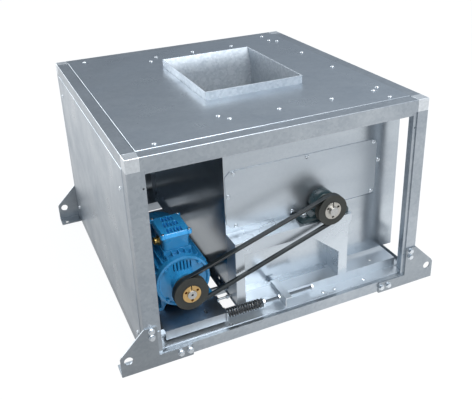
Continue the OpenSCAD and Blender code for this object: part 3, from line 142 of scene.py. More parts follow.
# Screws: height of the head, radius of the shank, and length. The lid's have a fixed head.
LID_SCREW = (2.4 * MM, 2 * MM, 6 * MM)
LID_SCREW_HEAD = 4.4 * MM
SHEET_SCREW = (2.9 * MM, 2.4 * MM, 5 * MM)
# The sheet screws of the CAD node: length from end to end, and height of the head
CAD_SCREW = 8.6 * MM
CAD_SCREW_HEAD = 2.6 * MM

# How bright metal sees the floor. Each row is an axis, or the distance from the object's
# middle across or along it, then the stretch of that over which the brightness changes, in
# metres, and the shares at the stretch's two ends.
FLOOR_TONES = {
    # Brighter on both sides of the object
    "left": ("X", -1.0, -0.5, 0.85, 0.5),
    "right": ("X", -0.5, 1.2, 0.0, 0.48),
    # Brighter again on the right, but not in front
    "not_in_front": ("Y", -0.85, -0.5, 0.0, 1.0),
    "near_right": ("X", -0.45, 0.1, 0.0, 0.4),
    "behind": ("Y", 0.0, 0.7, 0.0, 0.16),
    # Underneath, the floor's glow is painted darker: painted shade where the floor lies in the
    # object's own shade
    "shade_across": ("across", 0.3, 0.44, 0.75, 1.0),
    "shade_along": ("along", 0.36, 0.46, 0.75, 1.0),
}
# The floor's strength to the camera, and how much of it the camera and gloss see as glow
FLOOR_WHITE = 1.05
FLOOR_TO_CAMERA = 0.9
FLOOR_TO_GLOSS = 0.8
# From the floor's middle to its sides, in metres
FLOOR_REACH = 30.0

# How bright the sky is by direction, in rows like the floor's. A white screen stands to the
# left behind the object, the room is paler to the right, and a white ceiling hangs in front.
SKY_TONES = {
    "height": ("Z", -0.2, 1.0, 0.0, 1.0),
    "right": ("X", 0.15, 0.7, 0.0, 0.5),
    "front": ("Y", -0.9, 0.1, 0.7, 0.0),
    "screen_across": ("X", -0.26, -0.14, 1.0, 0.0),
    "screen_along": ("Y", 0.4, 0.7, 0.0, 1.0),
}
# The sky's strength where nothing above adds to it
SKY_BASE = 0.8
# The sky's colours by height: a dark blue-grey band over the horizon, then lighter
SKY_STOPS = ((0.1, "CBCED3"), (0.2, "818B97"), (0.33, "656F7C"), (0.42, "86909B"),
             (0.52, "ADB5BD"), (0.7, "EFF3F8"), (1.0, "FFFFFF"))

# The lamps: place, point that they face, and width, in metres
KEY_LAMP = ((0.35, -0.75, 2.5), (0, 0, 0.3), 1.15)
FILL_LAMP = ((0.2, -2.3, 2.5), (0, -0.2, 0.3), 1.7)

# The camera that matches the photograph: the photograph's size, focal length and lens axis
# in pixels, then azimuth, elevation and roll in degrees, then the place in metres, which was
# fitted in cabinet widths from the cabinet's front left corner
PHOTO_WIDTH, PHOTO_HEIGHT = 472, 400
CAMERA_FOCUS = 631.081
CAMERA_MIDDLE = (232.5, 150.0)
CAMERA_ANGLES = (-23.0315, 24.0776, -2.2377)
CAMERA_PLACE = Vector((-0.3244 * CABINET_WIDTH - CABINET_WIDTH / 2,
                       -1.4944 * CABINET_WIDTH - CABINET_DEPTH / 2,
                       1.3927 * CABINET_WIDTH + FOOT_PLATE))


def linear(hex_text):
    """The linear colour of an sRGB hex value."""
    parts = [int(hex_text[i : i + 2], 16) / 255 for i in (0, 2, 4)]
    return tuple(c / 12.92 if c <= 0.04045 else ((c + 0.055) / 1.055) ** 2.4 for c in parts)


def shade(colour, share):
    """A linear colour made lighter or darker, but not lighter than white."""
    return [min(1.0, c * share) for c in colour]


def rgba(colour):
    """A colour with full opacity, as a socket takes it."""
    return (*tuple(colour)[:3], 1.0)


class FanFinish(bpy.types.PropertyGroup):
    """Colours and surface sizes."""

    zinc: FloatVectorProperty(
        name="Zinc", description="Colour of the galvanised sheet", subtype="COLOR",
        default=linear("C3CAD0"), min=0, max=1)
    zinc_dark: FloatVectorProperty(
        name="Dark zinc", description="Colour of the sheet's darker crystals",
        subtype="COLOR", default=linear("9AA4AE"), min=0, max=1)
    motor_blue: FloatVectorProperty(
        name="Motor blue", description="Colour of the motor's enamel", subtype="COLOR",
        default=linear("2A83B8"), min=0, max=1)
    spangle: FloatProperty(
        name="Spangle", description="Width of one zinc crystal", default=7 * MM,
        unit="LENGTH", min=1 * MM, max=50 * MM)
    edge: FloatProperty(
        name="Sheet edge", description="Rounding of cut and bent sheet edges",
        default=0.45 * MM, unit="LENGTH", min=0.1 * MM, max=2 * MM)
    profile_edge: FloatProperty(
        name="Profile lips", description="Rounding of the small edges of the profile",
        default=0.6 * MM, unit="LENGTH", min=0.1 * MM, max=1 * MM)
    profile_radius: FloatProperty(
        name="Profile radius", description="Radius of the frame's long outer edges",
        default=1.5 * MM, unit="LENGTH", min=0.5 * MM, max=5 * MM)


class FanHardware(bpy.types.PropertyGroup):
    """Sizes of the small pieces."""

    thread_pitch: FloatProperty(
        name="Thread pitch", description="Pitch of the tension rod's thread, drawn coarse",
        default=2.0 * MM, unit="LENGTH", min=1 * MM, max=4 * MM)
    wire: FloatProperty(
        name="Spring wire", description="Wire of the tension spring", default=4 * MM,
        unit="LENGTH", min=1 * MM, max=5 * MM)
    curls: IntProperty(
        name="Spring curls", description="Curls of the tension spring", default=13, min=4,
        max=40)
    screw_head: FloatProperty(
        name="Screw head", description="Width of a sheet screw's head", default=11.5 * MM,
        unit="LENGTH", min=4 * MM, max=20 * MM)


class FanStudio(bpy.types.PropertyGroup):
    """Light of the studio."""

    sky: FloatProperty(
        name="Sky", description="Strength of the soft light from all round", default=1.0,
        min=0, max=5)
    screen: FloatProperty(
        name="Screen", description="Strength of the white screen behind on the left",
        default=4.0, min=0, max=10)
    key: FloatProperty(
        name="Key lamp", description="Power of the large lamp above", default=32,
        unit="POWER", min=0, max=1000)
    fill: FloatProperty(
        name="Fill lamp", description="Power of the large lamp in front", default=46,
        unit="POWER", min=0, max=1000)


def add(tree, kind, inputs=None, **settings):
    """Adds a node to a tree, sets it, and fills or links its inputs. A node given for an
    input is linked by the first output that it has in use."""
    made = tree.nodes.new(kind)
    for name, value in settings.items():
        setattr(made, name, value)
    for name, value in (inputs or {}).items():
        if isinstance(value, bpy.types.Node):
            value = next(output for output in value.outputs if output.enabled)
        if isinstance(value, bpy.types.NodeSocket):
            tree.links.new(value, made.inputs[name])
        else:
            made.inputs[name].default_value = value
    return made


def start(name):
    """An empty material, its nodes, and the object's own coordinates in metres."""
    made = bpy.data.materials.new(name)
    made.use_nodes = True
    tree = made.node_tree
    tree.nodes.clear()
    return made, tree, add(tree, "ShaderNodeTexCoord").outputs["Object"]


def galvanised(name, finish, light, roughness, crystals, clouds, rolled=1.0, metal=1.0):
    """Hot-dip galvanised steel: flat zinc crystals of slightly different greys, cloudy over
    a wide area, with soft reflections that bend where the sheet isn't quite flat. Rolled
    sheet is stretched: its clouds and bends are wider along the sheet than across it."""
    cloud_width, bend_width, bend_depth = 120 * MM, 100 * MM, 1.5 * MM
    made, tree, place = start(name)
    along = add(tree, "ShaderNodeVectorMath", {
        0: place, 1: (1 / rolled, 1 / rolled, 1.0)}, operation="MULTIPLY")
    # The crystals' borders wander by up to a crystal's width
    wander = add(tree, "ShaderNodeTexNoise", {
        "Vector": place, "Scale": 1 / (finish.spangle * 2.5), "Detail": 2.0})
    offset = add(tree, "ShaderNodeVectorMath", {
        0: wander.outputs["Color"], "Scale": finish.spangle * 0.9}, operation="SCALE")
    warped = add(tree, "ShaderNodeVectorMath", {0: place, 1: offset}, operation="ADD")
    cells = add(tree, "ShaderNodeTexVoronoi", {
        "Vector": warped, "Scale": 1 / finish.spangle}, feature="F1")
    crystal = add(tree, "ShaderNodeSeparateColor", {0: cells.outputs["Color"]})
    cloud = add(tree, "ShaderNodeTexNoise", {
        "Vector": along, "Scale": 1 / cloud_width, "Detail": 4.0, "Roughness": 0.55})
    # Dark crystals and dark clouds add up, and so do dull ones
    dark_crystal = add(tree, "ShaderNodeMapRange", {
        "Value": crystal.outputs["Red"], "To Max": 0.3 * crystals})
    dark_cloud = add(tree, "ShaderNodeMapRange", {
        "Value": cloud, "From Min": 0.3, "From Max": 0.7, "To Max": 0.6 * clouds})
    dark = add(tree, "ShaderNodeMath", {0: dark_crystal, 1: dark_cloud}, operation="ADD")
    tone = add(tree, "ShaderNodeMix", {
        "Factor": dark, 6: rgba(shade(finish.zinc, light)),
        7: rgba(shade(finish.zinc_dark, light))}, data_type="RGBA")
    dull_crystal = add(tree, "ShaderNodeMapRange", {
        "Value": crystal.outputs["Green"], "To Min": roughness,
        "To Max": roughness + 0.03 * crystals})
    dull_cloud = add(tree, "ShaderNodeMapRange", {
        "Value": cloud, "From Min": 0.3, "From Max": 0.7, "To Min": -0.05, "To Max": 0.05})
    rough = add(tree, "ShaderNodeMath", {0: dull_crystal, 1: dull_cloud}, operation="ADD")
    bends = add(tree, "ShaderNodeTexNoise", {
        "Vector": along, "Scale": 1 / bend_width, "Detail": 2.0, "Roughness": 0.55})
    height = add(tree, "ShaderNodeMapRange", {"Value": bends, "To Max": bend_depth})
    relief = add(tree, "ShaderNodeBump", {
        "Height": height, "Distance": 1.0, "Strength": 0.8})
    shader = add(tree, "ShaderNodeBsdfPrincipled", {
        "Base Color": tone, "Roughness": rough, "Metallic": metal, "Normal": relief})
    add(tree, "ShaderNodeOutputMaterial", {"Surface": shader})
    return made


def bare_metal(name, colour, roughness, grain=0.8 * MM):
    """Turned, ground or zinc-plated metal: a bright tone with fine tool marks, darker in
    small patches."""
    patch_width, mark_depth = 8 * MM, 0.01 * MM
    made, tree, place = start(name)
    marks = add(tree, "ShaderNodeTexNoise", {
        "Vector": place, "Scale": 1 / grain, "Detail": 3.0, "Roughness": 0.55})
    patches = add(tree, "ShaderNodeTexNoise", {
        "Vector": place, "Scale": 1 / patch_width, "Detail": 3.0, "Roughness": 0.55})
    dark = add(tree, "ShaderNodeMapRange", {
        "Value": patches, "From Min": 0.3, "From Max": 0.7, "To Max": 0.5})
    tone = add(tree, "ShaderNodeMix", {
        "Factor": dark, 6: rgba(colour), 7: rgba(shade(colour, 0.7))}, data_type="RGBA")
    rough = add(tree, "ShaderNodeMapRange", {
        "Value": marks, "From Min": 0.3, "From Max": 0.7, "To Min": roughness - 0.06,
        "To Max": roughness + 0.1})
    relief = add(tree, "ShaderNodeBump", {
        "Height": marks, "Distance": mark_depth, "Strength": 1.0})
    shader = add(tree, "ShaderNodeBsdfPrincipled", {
        "Base Color": tone, "Roughness": rough, "Metallic": 1.0, "Normal": relief})
    add(tree, "ShaderNodeOutputMaterial", {"Surface": shader})
    return made


def coated(name, colour, worn, roughness, grain, depth, coat=0.0, ior=1.5):
    """Paint, rubber, plastic or cast iron: an even colour with worn patches, which have
    another shade and are duller, over a skin with the grain that its casting left."""
    patch_width = 30 * MM
    made, tree, place = start(name)
    patches = add(tree, "ShaderNodeTexNoise", {
        "Vector": place, "Scale": 1 / patch_width, "Detail": 4.0, "Roughness": 0.55})
    wear = add(tree, "ShaderNodeMapRange", {
        "Value": patches, "From Min": 0.4, "From Max": 0.75})
    tone = add(tree, "ShaderNodeMix", {
        "Factor": wear, 6: rgba(colour), 7: rgba(worn)}, data_type="RGBA")
    rough = add(tree, "ShaderNodeMapRange", {
        "Value": patches, "From Min": 0.3, "From Max": 0.7, "To Min": roughness - 0.05,
        "To Max": roughness + 0.12})
    skin = add(tree, "ShaderNodeTexNoise", {
        "Vector": place, "Scale": 1 / grain, "Detail": 2.0, "Roughness": 0.55})
    relief = add(tree, "ShaderNodeBump", {
        "Height": skin, "Distance": depth, "Strength": 1.0})
    shader = add(tree, "ShaderNodeBsdfPrincipled", {
        "Base Color": tone, "Roughness": rough, "IOR": ior, "Coat Weight": coat,
        "Normal": relief})
    add(tree, "ShaderNodeOutputMaterial", {"Surface": shader})
    return made


# Zinc finishes and ground steel, by the settings of galvanised()
GALVANISED = {
    # Wide sheets: cloudy, with soft mirror images of what stands near them
    "galvanised_sheet": {"light": 1.04, "roughness": 0.31, "crystals": 0.4, "clouds": 1.3},
    # Walls inside: the same sheet, a little smoother, with its rolling lines level
    "galvanised_wall": {
        "light": 1.02, "roughness": 0.22, "crystals": 0.3, "clouds": 0.7, "rolled": 4.0},
    # Shaft cover: the same sheet, satin, so that what it mirrors is only a soft shade
    "satin_zinc": {
        "light": 1.06, "roughness": 0.36, "crystals": 0.2, "clouds": 0.6, "rolled": 4.0,
        "metal": 0.9},
    # Outlet duct: dull zinc with clear crystals, which scatters most of the light
    "dull_zinc": {
        "light": 1.0, "roughness": 0.42, "crystals": 1.8, "clouds": 0.6, "metal": 0.65},
    # Trays and brackets: clean bent sheet
    "bent_sheet": {
        "light": 1.12, "roughness": 0.3, "crystals": 0.0, "clouds": 0.5, "metal": 0.85},
    # Motor's slide plate: a darker and duller zinc coat
    "dark_zinc": {"light": 0.78, "roughness": 0.38, "crystals": 0.4, "clouds": 0.7},
    # Roll-formed profile: a darker zinc coat with clearer crystals
    "galvanised_profile": {"light": 0.88, "roughness": 0.32, "crystals": 1.0, "clouds": 0.6},
    # Foot plates, dipped after cutting: the darkest zinc, rather dull
    "dipped_plate": {"light": 0.68, "roughness": 0.34, "crystals": 0.8, "clouds": 0.5},
    # Bearing rings: ground steel, satin and pale, without crystals
    "ground_steel": {
        "light": 1.35, "roughness": 0.4, "crystals": 0.0, "clouds": 0.2, "metal": 0.6},
}

# Bare metals: colour, and the settings of bare_metal()
BARE_METALS = {
    # Die-cast corners: plain satin aluminium
    "cast_aluminium": ("E2E7EB", {"roughness": 0.36, "grain": 1.5 * MM}),
    # Zinc-plated bolts, nuts and screws: bright and silvery
    "zinc_plate": ("DDE3E8", {"roughness": 0.24}),
    # Threaded rod: plain grey steel
    "threaded_steel": ("8B9299", {"roughness": 0.36}),
    # Shaft ends: bright turned steel
    "turned_steel": ("C6C6C4", {"roughness": 0.24}),
    # Taper bush on the fan: steel with a little of the yellow left
    "warm_steel": ("C4C1BA", {"roughness": 0.34}),
    # Taper bush on the motor: yellow-passivated steel
    "passivated_steel": ("D8B57C", {"roughness": 0.36}),
    # Cable gland: bright yellow brass
    "brass": ("D6B36A", {"roughness": 0.26}),
}

# Paints, rubber and plastic: colour, worn colour, and the settings of coated()
COATED = {
    # Phosphated grey iron pulleys: a very dark grey, nearly matt
    "phosphated_iron": ("20221E", "2D2F2A", {
        "roughness": 0.5, "grain": 1.2 * MM, "depth": 0.02 * MM}),
    # Bearing housing: glossy dark blue-green paint over rough cast iron
    "green_casting": ("1E3034", "2B4348", {
        "roughness": 0.22, "grain": 2.5 * MM, "depth": 0.08 * MM}),
    # Belt: cloth-faced rubber, black and a little dusty in patches
    "belt_rubber": ("12181A", "1D2629", {
        "roughness": 0.42, "grain": 0.9 * MM, "depth": 0.05 * MM, "ior": 1.52}),
    # Spring: black oxide on steel wire, with a hard dark shine
    "black_oxide": ("1A1B1D", "26272A", {
        "roughness": 0.24, "grain": 1.0 * MM, "depth": 0.01 * MM, "ior": 1.8}),
    # Motor's cooling fan: moulded black nylon, dull and even
    "black_nylon": ("202122", "2A2B2C", {
        "roughness": 0.45, "grain": 1.5 * MM, "depth": 0.02 * MM}),
}

# Semi-gloss enamel over cast aluminium, with the small dimples that the casting left
ENAMEL = {"roughness": 0.27, "grain": 2.2 * MM, "depth": 0.05 * MM, "coat": 0.35}
# Its shades: what the motor's blue is multiplied by, as new and in its worn patches
ENAMELS = {
    # Motor: the blue itself
    "blue_enamel": (1.0, 0.8),
    # Lid of the terminal box: the blue painted paler, as painted light where the lid faces the
    # lamp
    "painted_light_lid_enamel": (1.7, 1.4),
}

MATERIALS = {}


def make_materials(finish):
    """Every finish of the fan, by name."""
    for name, settings in GALVANISED.items():
        MATERIALS[name] = galvanised(name, finish, **settings)
    for name, (colour, settings) in BARE_METALS.items():
        MATERIALS[name] = bare_metal(name, linear(colour), **settings)
    for name, (colour, worn, settings) in COATED.items():
        MATERIALS[name] = coated(name, linear(colour), linear(worn), **settings)
    for name, shares in ENAMELS.items():
        colour, worn = (shade(finish.motor_blue, share) for share in shares)
        MATERIALS[name] = coated(name, colour, worn, **ENAMEL)


def turned_to(axis):
    """The rotation that turns Z to an axis."""
    return Vector(axis).to_track_quat("Z", "Y").to_matrix().to_4x4()


def at(point, axis=Z_AXIS):
    """The place at a point whose Z is an axis."""
    return Matrix.Translation(point) @ turned_to(axis)


def centre(node):
    low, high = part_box(node)
    return (low + high) / 2


def ring_faces(bm, rings, closed=False):
    """Joins rings of vertices with quads, and closes the ends."""
    pairs = list(zip(rings, rings[1:]))
    if closed:
        pairs.append((rings[-1], rings[0]))
    for one, two in pairs:
        count = len(one)
        for i in range(count):
            j = (i + 1) % count
            bm.faces.new((one[i], one[j], two[j], two[i]))
    if not closed:
        bm.faces.new(list(reversed(rings[0])))
        bm.faces.new(rings[-1])


def lathe(bm, outline, place, steps=64, closed=False):
    """Turns an outline of (radius, height) about the place's Z."""
    rings = []
    for radius, height in outline:
        rings.append([
            bm.verts.new(place @ Vector((radius * math.cos(t), radius * math.sin(t), height)))
            for t in (2 * math.pi * i / steps for i in range(steps))])
    ring_faces(bm, rings, closed)


def tapered(bm, sections, place, closed=False):
    """Outlines at several heights, joined."""
    rings = [[bm.verts.new(place @ Vector((x, y, z))) for x, y in outline]
             for z, outline in sections]
    ring_faces(bm, rings, closed)


def prism(bm, outline, place, depth):
    """A flat outline in the place's X and Y, thickened along its Z."""
    tapered(bm, [(0.0, outline), (depth, outline)], place)


def rectangle(left, front, right, rear):
    return [(left, front), (right, front), (right, rear), (left, rear)]


def round_box(width, depth, radius, steps=5):
    """The outline of a rectangle with round corners, about its centre."""
    points = []
    for sx, sy, first in ((1, 1, 0), (-1, 1, 90), (-1, -1, 180), (1, -1, 270)):
        for i in range(steps + 1):
            t = math.radians(first + 90 * i / steps)
            points.append((sx * (width / 2 - radius) + radius * math.cos(t),
                           sy * (depth / 2 - radius) + radius * math.sin(t)))
    return points


def tube(bm, points, radius, sides):
    """A round tube along a line of points."""
    rings = []
    side = None
    for i, point in enumerate(points):
        ahead = points[min(i + 1, len(points) - 1)] - points[max(i - 1, 0)]
        ahead.normalize()
        if side is None:
            side = ahead.orthogonal().normalized()
        side = (side - ahead * side.dot(ahead)).normalized()
        up = ahead.cross(side)
        rings.append([
            bm.verts.new(point + (side * math.cos(t) + up * math.sin(t)) * radius)
            for t in (2 * math.pi * k / sides for k in range(sides))])
    ring_faces(bm, rings)


def hex_head(bm, place, flats, height):
    """A hexagon on the place's XY plane, with its top chamfered most at the corners. Each
    ring has a point at every corner and one in the middle of every flat."""
    corner_radius = flats / 2 / math.cos(math.radians(30))
    corner_drop = flats * 0.07
    rings = []
    for at_corner, at_flat, corner_z, flat_z in (
            (1.0, 1.0, 0.0, 0.0),
            (1.0, 1.0, height - corner_drop, height - corner_drop * 0.15),
            (0.83, 0.955, height, height)):
        ring = []
        for k in range(12):
            t = math.radians(30 * k)
            radius, z = flats / 2 * at_flat, flat_z
            if k % 2 == 0:
                radius, z = corner_radius * at_corner, corner_z
            ring.append(bm.verts.new(
                place @ Vector((radius * math.cos(t), radius * math.sin(t), z))))
        rings.append(ring)
    ring_faces(bm, rings)


def washer(bm, place, inner, outer, thick):
    lathe(bm, [(inner, 0), (outer, 0), (outer, thick), (inner, thick)], place, 32, True)


def bolt(bm, place, flats, height, shank, length, washer_radius):
    """A hexagon bolt on its washer, which lies on the place's XY plane."""
    lift = 1.4 * MM
    washer(bm, place, shank, washer_radius, lift)
    hex_head(bm, place @ Matrix.Translation((0, 0, lift)), flats, height)
    lathe(bm, [(shank, -length), (shank, lift + 0.5 * MM)], place, 20)


def dome_screw(bm, place, radius, height, shank, length):
    """A domed sheet screw with a round drive recess."""
    steps = 5
    pit = radius * 0.36
    dome = [(radius * math.cos(t), height * (0.25 + 0.75 * math.sin(t)))
            for t in (math.radians(68) * i / steps for i in range(steps + 1))]
    lathe(bm, [(shank, -length), (shank, 0), (radius, 0), *dome, (pit, height),
               (pit * 0.8, height * 0.45)], place, 20)


def put(name, data):
    """A new object in the scene for a mesh, a lamp or the camera."""
    made = bpy.data.objects.new(name, data)
    bpy.context.scene.collection.objects.link(made)
    return made


def solid(name, bm):
    """The mesh as an object, with its faces turned outwards."""
    bmesh.ops.recalc_face_normals(bm, faces=bm.faces)
    mesh = bpy.data.meshes.new(name)
    bm.to_mesh(mesh)
    bm.free()
    return put(name, mesh)


def piece(name, bm, finish, body, replaced=(), bevel=0.0, angle=32):
    """Makes the mesh an object that stands for CAD nodes. It rides on the body named; given two
    bodies and two points, (body, body, start, end), it stays where it is made and doesn't bend."""
    made = solid(name, bm)
    made.data.materials.append(MATERIALS[finish])
    made.data.shade_smooth()
    if bevel:
        round_edges(made, bevel)
    else:
        made.data.set_sharp_from_angle(angle=math.radians(angle))
    if isinstance(body, str):
        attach(made, body)
    else:
        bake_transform(made)
    if replaced:
        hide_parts(*replaced)
    return made


def flatten(made):
    """Joins doubled points and flat faces, which leaves only the edges of the shape."""
    weld = made.modifiers.new("Weld", "WELD")
    weld.merge_threshold = 0.004 * MM
    flat = made.modifiers.new("Flat faces", "DECIMATE")
    flat.decimate_type = "DISSOLVE"
    flat.angle_limit = math.radians(0.6)


def round_edges(made, width, segments=2):
    """Rounds the sharp edges with modifiers, which leave the mesh itself alone."""
    flatten(made)
    edges = made.modifiers.new("Edges", "BEVEL")
    edges.width = width
    edges.segments = segments
    edges.limit_method = "ANGLE"
    edges.angle_limit = math.radians(38)
    edges.use_clamp_overlap = True
    shading = made.modifiers.new("Shading", "WEIGHTED_NORMAL")
    shading.weight = 60


def round_outside(made, marks, width):
    """Rounds the long outer edges of a profile or corner more than its lips."""
    flatten(made)
    marked = made.modifiers.new("Outer edges", "NODES")
    marked.node_group = marks
    edges = made.modifiers.new("Outer bevel", "BEVEL")
    edges.width = width
    edges.segments = 3
    edges.limit_method = "WEIGHT"


def mark_outer_edges():
    """Nodes that mark the edges on which two of the cabinet's outer faces meet."""
    tree = bpy.data.node_groups.new("outer_edges", "GeometryNodeTree")
    for way in ("INPUT", "OUTPUT"):
        tree.interface.new_socket("Geometry", in_out=way, socket_type="NodeSocketGeometry")
    low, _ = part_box("front_left_post")
    bottom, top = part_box("bottom_front_rail")[0].z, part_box("top_front_rail")[1].z
    middle = Vector((0, 0, (bottom + top) / 2))
    # A point counts as outside when it is closer than this to an outer face
    slack = 0.2 * MM
    reach = Vector((-low.x, -low.y, (top - bottom) / 2)) - Vector((1, 1, 1)) * slack
    value = add(tree, "GeometryNodeInputPosition")
    for operation, other in (("SUBTRACT", middle), ("ABSOLUTE", None), ("SUBTRACT", reach),
                             ("SIGN", None), ("MAXIMUM", Vector())):
        inputs = {0: value} if other is None else {0: value, 1: other}
        value = add(tree, "ShaderNodeVectorMath", inputs, operation=operation)
    faces = add(tree, "ShaderNodeVectorMath", {0: value, 1: (1, 1, 1)},
                operation="DOT_PRODUCT")
    both = add(tree, "ShaderNodeMath", {0: faces, 1: 1.5}, operation="GREATER_THAN")
    into = add(tree, "NodeGroupInput")
    stored = add(tree, "GeometryNodeStoreNamedAttribute", {
        "Geometry": into.outputs[0], "Name": "bevel_weight_edge", "Value": both},
        data_type="FLOAT", domain="EDGE")
    add(tree, "NodeGroupOutput", {0: stored})
    return tree


def carve(made, bm):
    """Cuts the closed mesh out of a piece."""
    cutter = solid("cutter", bm)
    cut = made.modifiers.new("Cut", "BOOLEAN")
    cut.object = cutter
    cut.solver = "EXACT"
    graph = bpy.context.evaluated_depsgraph_get()
    done = bpy.data.meshes.new_from_object(made.evaluated_get(graph))
    made.modifiers.clear()
    made.data = done
    bpy.data.objects.remove(cutter)


def dress(node, finish, width=0.0, segments=2, outside=None):
    """Gives a CAD node its finish and, with modifiers, its rounded edges."""
    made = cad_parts[node]
    made.data.materials.clear()
    made.data.materials.append(MATERIALS[finish])
    if width:
        for face in made.data.polygons:
            face.use_smooth = True
        if outside:
            round_outside(made, *outside)
        round_edges(made, width, segments)


class FAN_OT_finishes(bpy.types.Operator):
    """Makes every material of the fan"""

    bl_idname = "fan.finishes"
    bl_label = "Finishes"
    bl_options = {"REGISTER", "UNDO"}

    def execute(self, context):
        make_materials(context.scene.fan_finish)
        return {"FINISHED"}


class FAN_OT_profiles(bpy.types.Operator):
    """Dresses the frame profiles, corners and feet"""

    bl_idname = "fan.profiles"
    bl_label = "Profiles and feet"
    bl_options = {"REGISTER", "UNDO"}

    def execute(self, context):
        finish = context.scene.fan_finish
        outside = (mark_outer_edges(), finish.profile_radius)
        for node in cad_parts:
            if node.endswith(("_post", "_rail")):
                dress(node, "galvanised_profile", finish.profile_edge, outside=outside)
            elif node.endswith("_foot"):
                dress(node, "dipped_plate", finish.edge * 1.3)
        dress("corner_pieces", "cast_aluminium", finish.profile_edge, outside=outside)
        return {"FINISHED"}


class FAN_OT_panels(bpy.types.Operator):
    """Makes the outer sheet panels with rounded rims, a little proud of the profiles"""

    bl_idname = "fan.panels"
    bl_label = "Panels"
    bl_options = {"REGISTER", "UNDO"}

    def execute(self, context):
        self.top()
        low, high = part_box("left_panel")
        low.x, high.x = low.x - SIDE_LIFT, low.x - SIDE_BACK
        self.side("left_sheet", "left_panel", low, high)
        low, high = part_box("rear_panel")
        low.y, high.y = high.y + SIDE_BACK, high.y + SIDE_LIFT
        self.side("rear_sheet", "rear_panel", low, high)
        return {"FINISHED"}

    def top(self):
        """The top panel, with the outlet's hole"""
        low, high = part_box("top_panel")
        hole_low, hole_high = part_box("outlet_collar")
        inner = rectangle(hole_low.x + OUTLET_FLANGE, hole_low.y + OUTLET_FLANGE,
                          hole_high.x - OUTLET_FLANGE, hole_high.y - OUTLET_FLANGE)
        outer = rectangle(low.x, low.y, high.x, high.y)
        face = high.z + PANEL_LIFT
        bm = bmesh.new()
        tapered(bm, [(low.z, outer), (face, outer), (face, inner), (low.z, inner)], Matrix(),
                closed=True)
        piece("top_sheet", bm, "galvanised_sheet", "cabinet", ["top_panel"],
              bevel=PANEL_RIM)

    def side(self, name, node, low, high):
        """A side panel between its lowest and highest corner"""
        bm = bmesh.new()
        prism(bm, rectangle(low.x, low.y, high.x, high.y),
              Matrix.Translation((0, 0, low.z)), high.z - low.z)
        piece(name, bm, "galvanised_sheet", "cabinet", [node], bevel=PANEL_RIM)


class FAN_OT_outlet(bpy.types.Operator):
    """Makes the outlet: a folded rim outside, and inside a lining that leads down into the
    narrower mouth of the scroll"""

    bl_idname = "fan.outlet"
    bl_label = "Outlet"
    bl_options = {"REGISTER", "UNDO"}

    def execute(self, context):
        low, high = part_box("outlet_collar")
        mouth_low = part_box("scroll_front_side")[1].y + 0.5 * MM
        mouth_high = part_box("scroll_rear_side")[0].y - 0.5 * MM

        def outline(inset, front, rear):
            return rectangle(low.x + OUTLET_FLANGE + inset, front,
                             high.x - OUTLET_FLANGE - inset, rear)

        outside = outline(0, low.y + OUTLET_FLANGE, high.y - OUTLET_FLANGE)
        rim = outline(OUTLET_SHEET, low.y + OUTLET_FLANGE + OUTLET_SHEET,
                      high.y - OUTLET_FLANGE - OUTLET_SHEET)
        mouth = outline(OUTLET_SHEET + MM, mouth_low + OUTLET_SHEET,
                        mouth_high - OUTLET_SHEET)
        lining = outline(OUTLET_SHEET, mouth_low + MM, mouth_high - MM)
        bend, foot = low.z + LINING_BEND, low.z - LINING_DEPTH
        bm = bmesh.new()
        tapered(bm, [(low.z, outside), (high.z, outside), (high.z, rim), (bend, mouth),
                     (foot, mouth), (foot, lining), (low.z, lining)], Matrix(), closed=True)
        piece("outlet_duct", bm, "dull_zinc", "cabinet", ["outlet_collar"], bevel=0.6 * MM)
        return {"FINISHED"}


class FAN_OT_walls(bpy.types.Operator):
    """Dresses the walls, covers, trays and pedestals inside"""

    bl_idname = "fan.walls"
    bl_label = "Walls and trays"
    bl_options = {"REGISTER", "UNDO"}

    def execute(self, context):
        edge = context.scene.fan_finish.edge
        for node in ("drive_wall", "bay_side_wall", "rear_wall", "lower_cover",
                     "roof_strip"):
            dress(node, "galvanised_wall", edge)
        dress("shaft_cover", "satin_zinc", edge * 1.4)
        for node in ("front_tray", "middle_rails", "rear_tray", "front_pedestal",
                     "rear_pedestal", "tension_bracket"):
            dress(node, "bent_sheet", edge * 1.4)
        dress("motor_plate", "dark_zinc", edge * 1.4)
        return {"FINISHED"}


class FAN_OT_wheel(bpy.types.Operator):
    """Dresses the scroll, the fan wheel and the shaft"""

    bl_idname = "fan.wheel"
    bl_label = "Scroll and wheel"
    bl_options = {"REGISTER", "UNDO"}

    def execute(self, context):
        edge = context.scene.fan_finish.edge
        for node in ("scroll_wrap", "scroll_front_side", "scroll_rear_side"):
            dress(node, "galvanised_wall", edge)
        dress("impeller", "galvanised_wall")
        dress("fan_shaft", "turned_steel", edge * 2)
        dress("bearing_rings", "ground_steel", edge * 2)
        return {"FINISHED"}


class FAN_OT_pulleys(bpy.types.Operator):
    """Dresses the pulleys, their bushes and the motor's shaft"""

    bl_idname = "fan.pulleys"
    bl_label = "Pulleys"
    bl_options = {"REGISTER", "UNDO"}

    def execute(self, context):
        edge = context.scene.fan_finish.edge
        dress("fan_pulley", "phosphated_iron", edge * 1.6)
        dress("motor_pulley", "phosphated_iron", edge * 1.6)
        dress("fan_bush", "warm_steel", edge)
        dress("motor_bush", "passivated_steel", edge)
        dress("motor_shaft", "turned_steel", edge * 1.5)
        return {"FINISHED"}


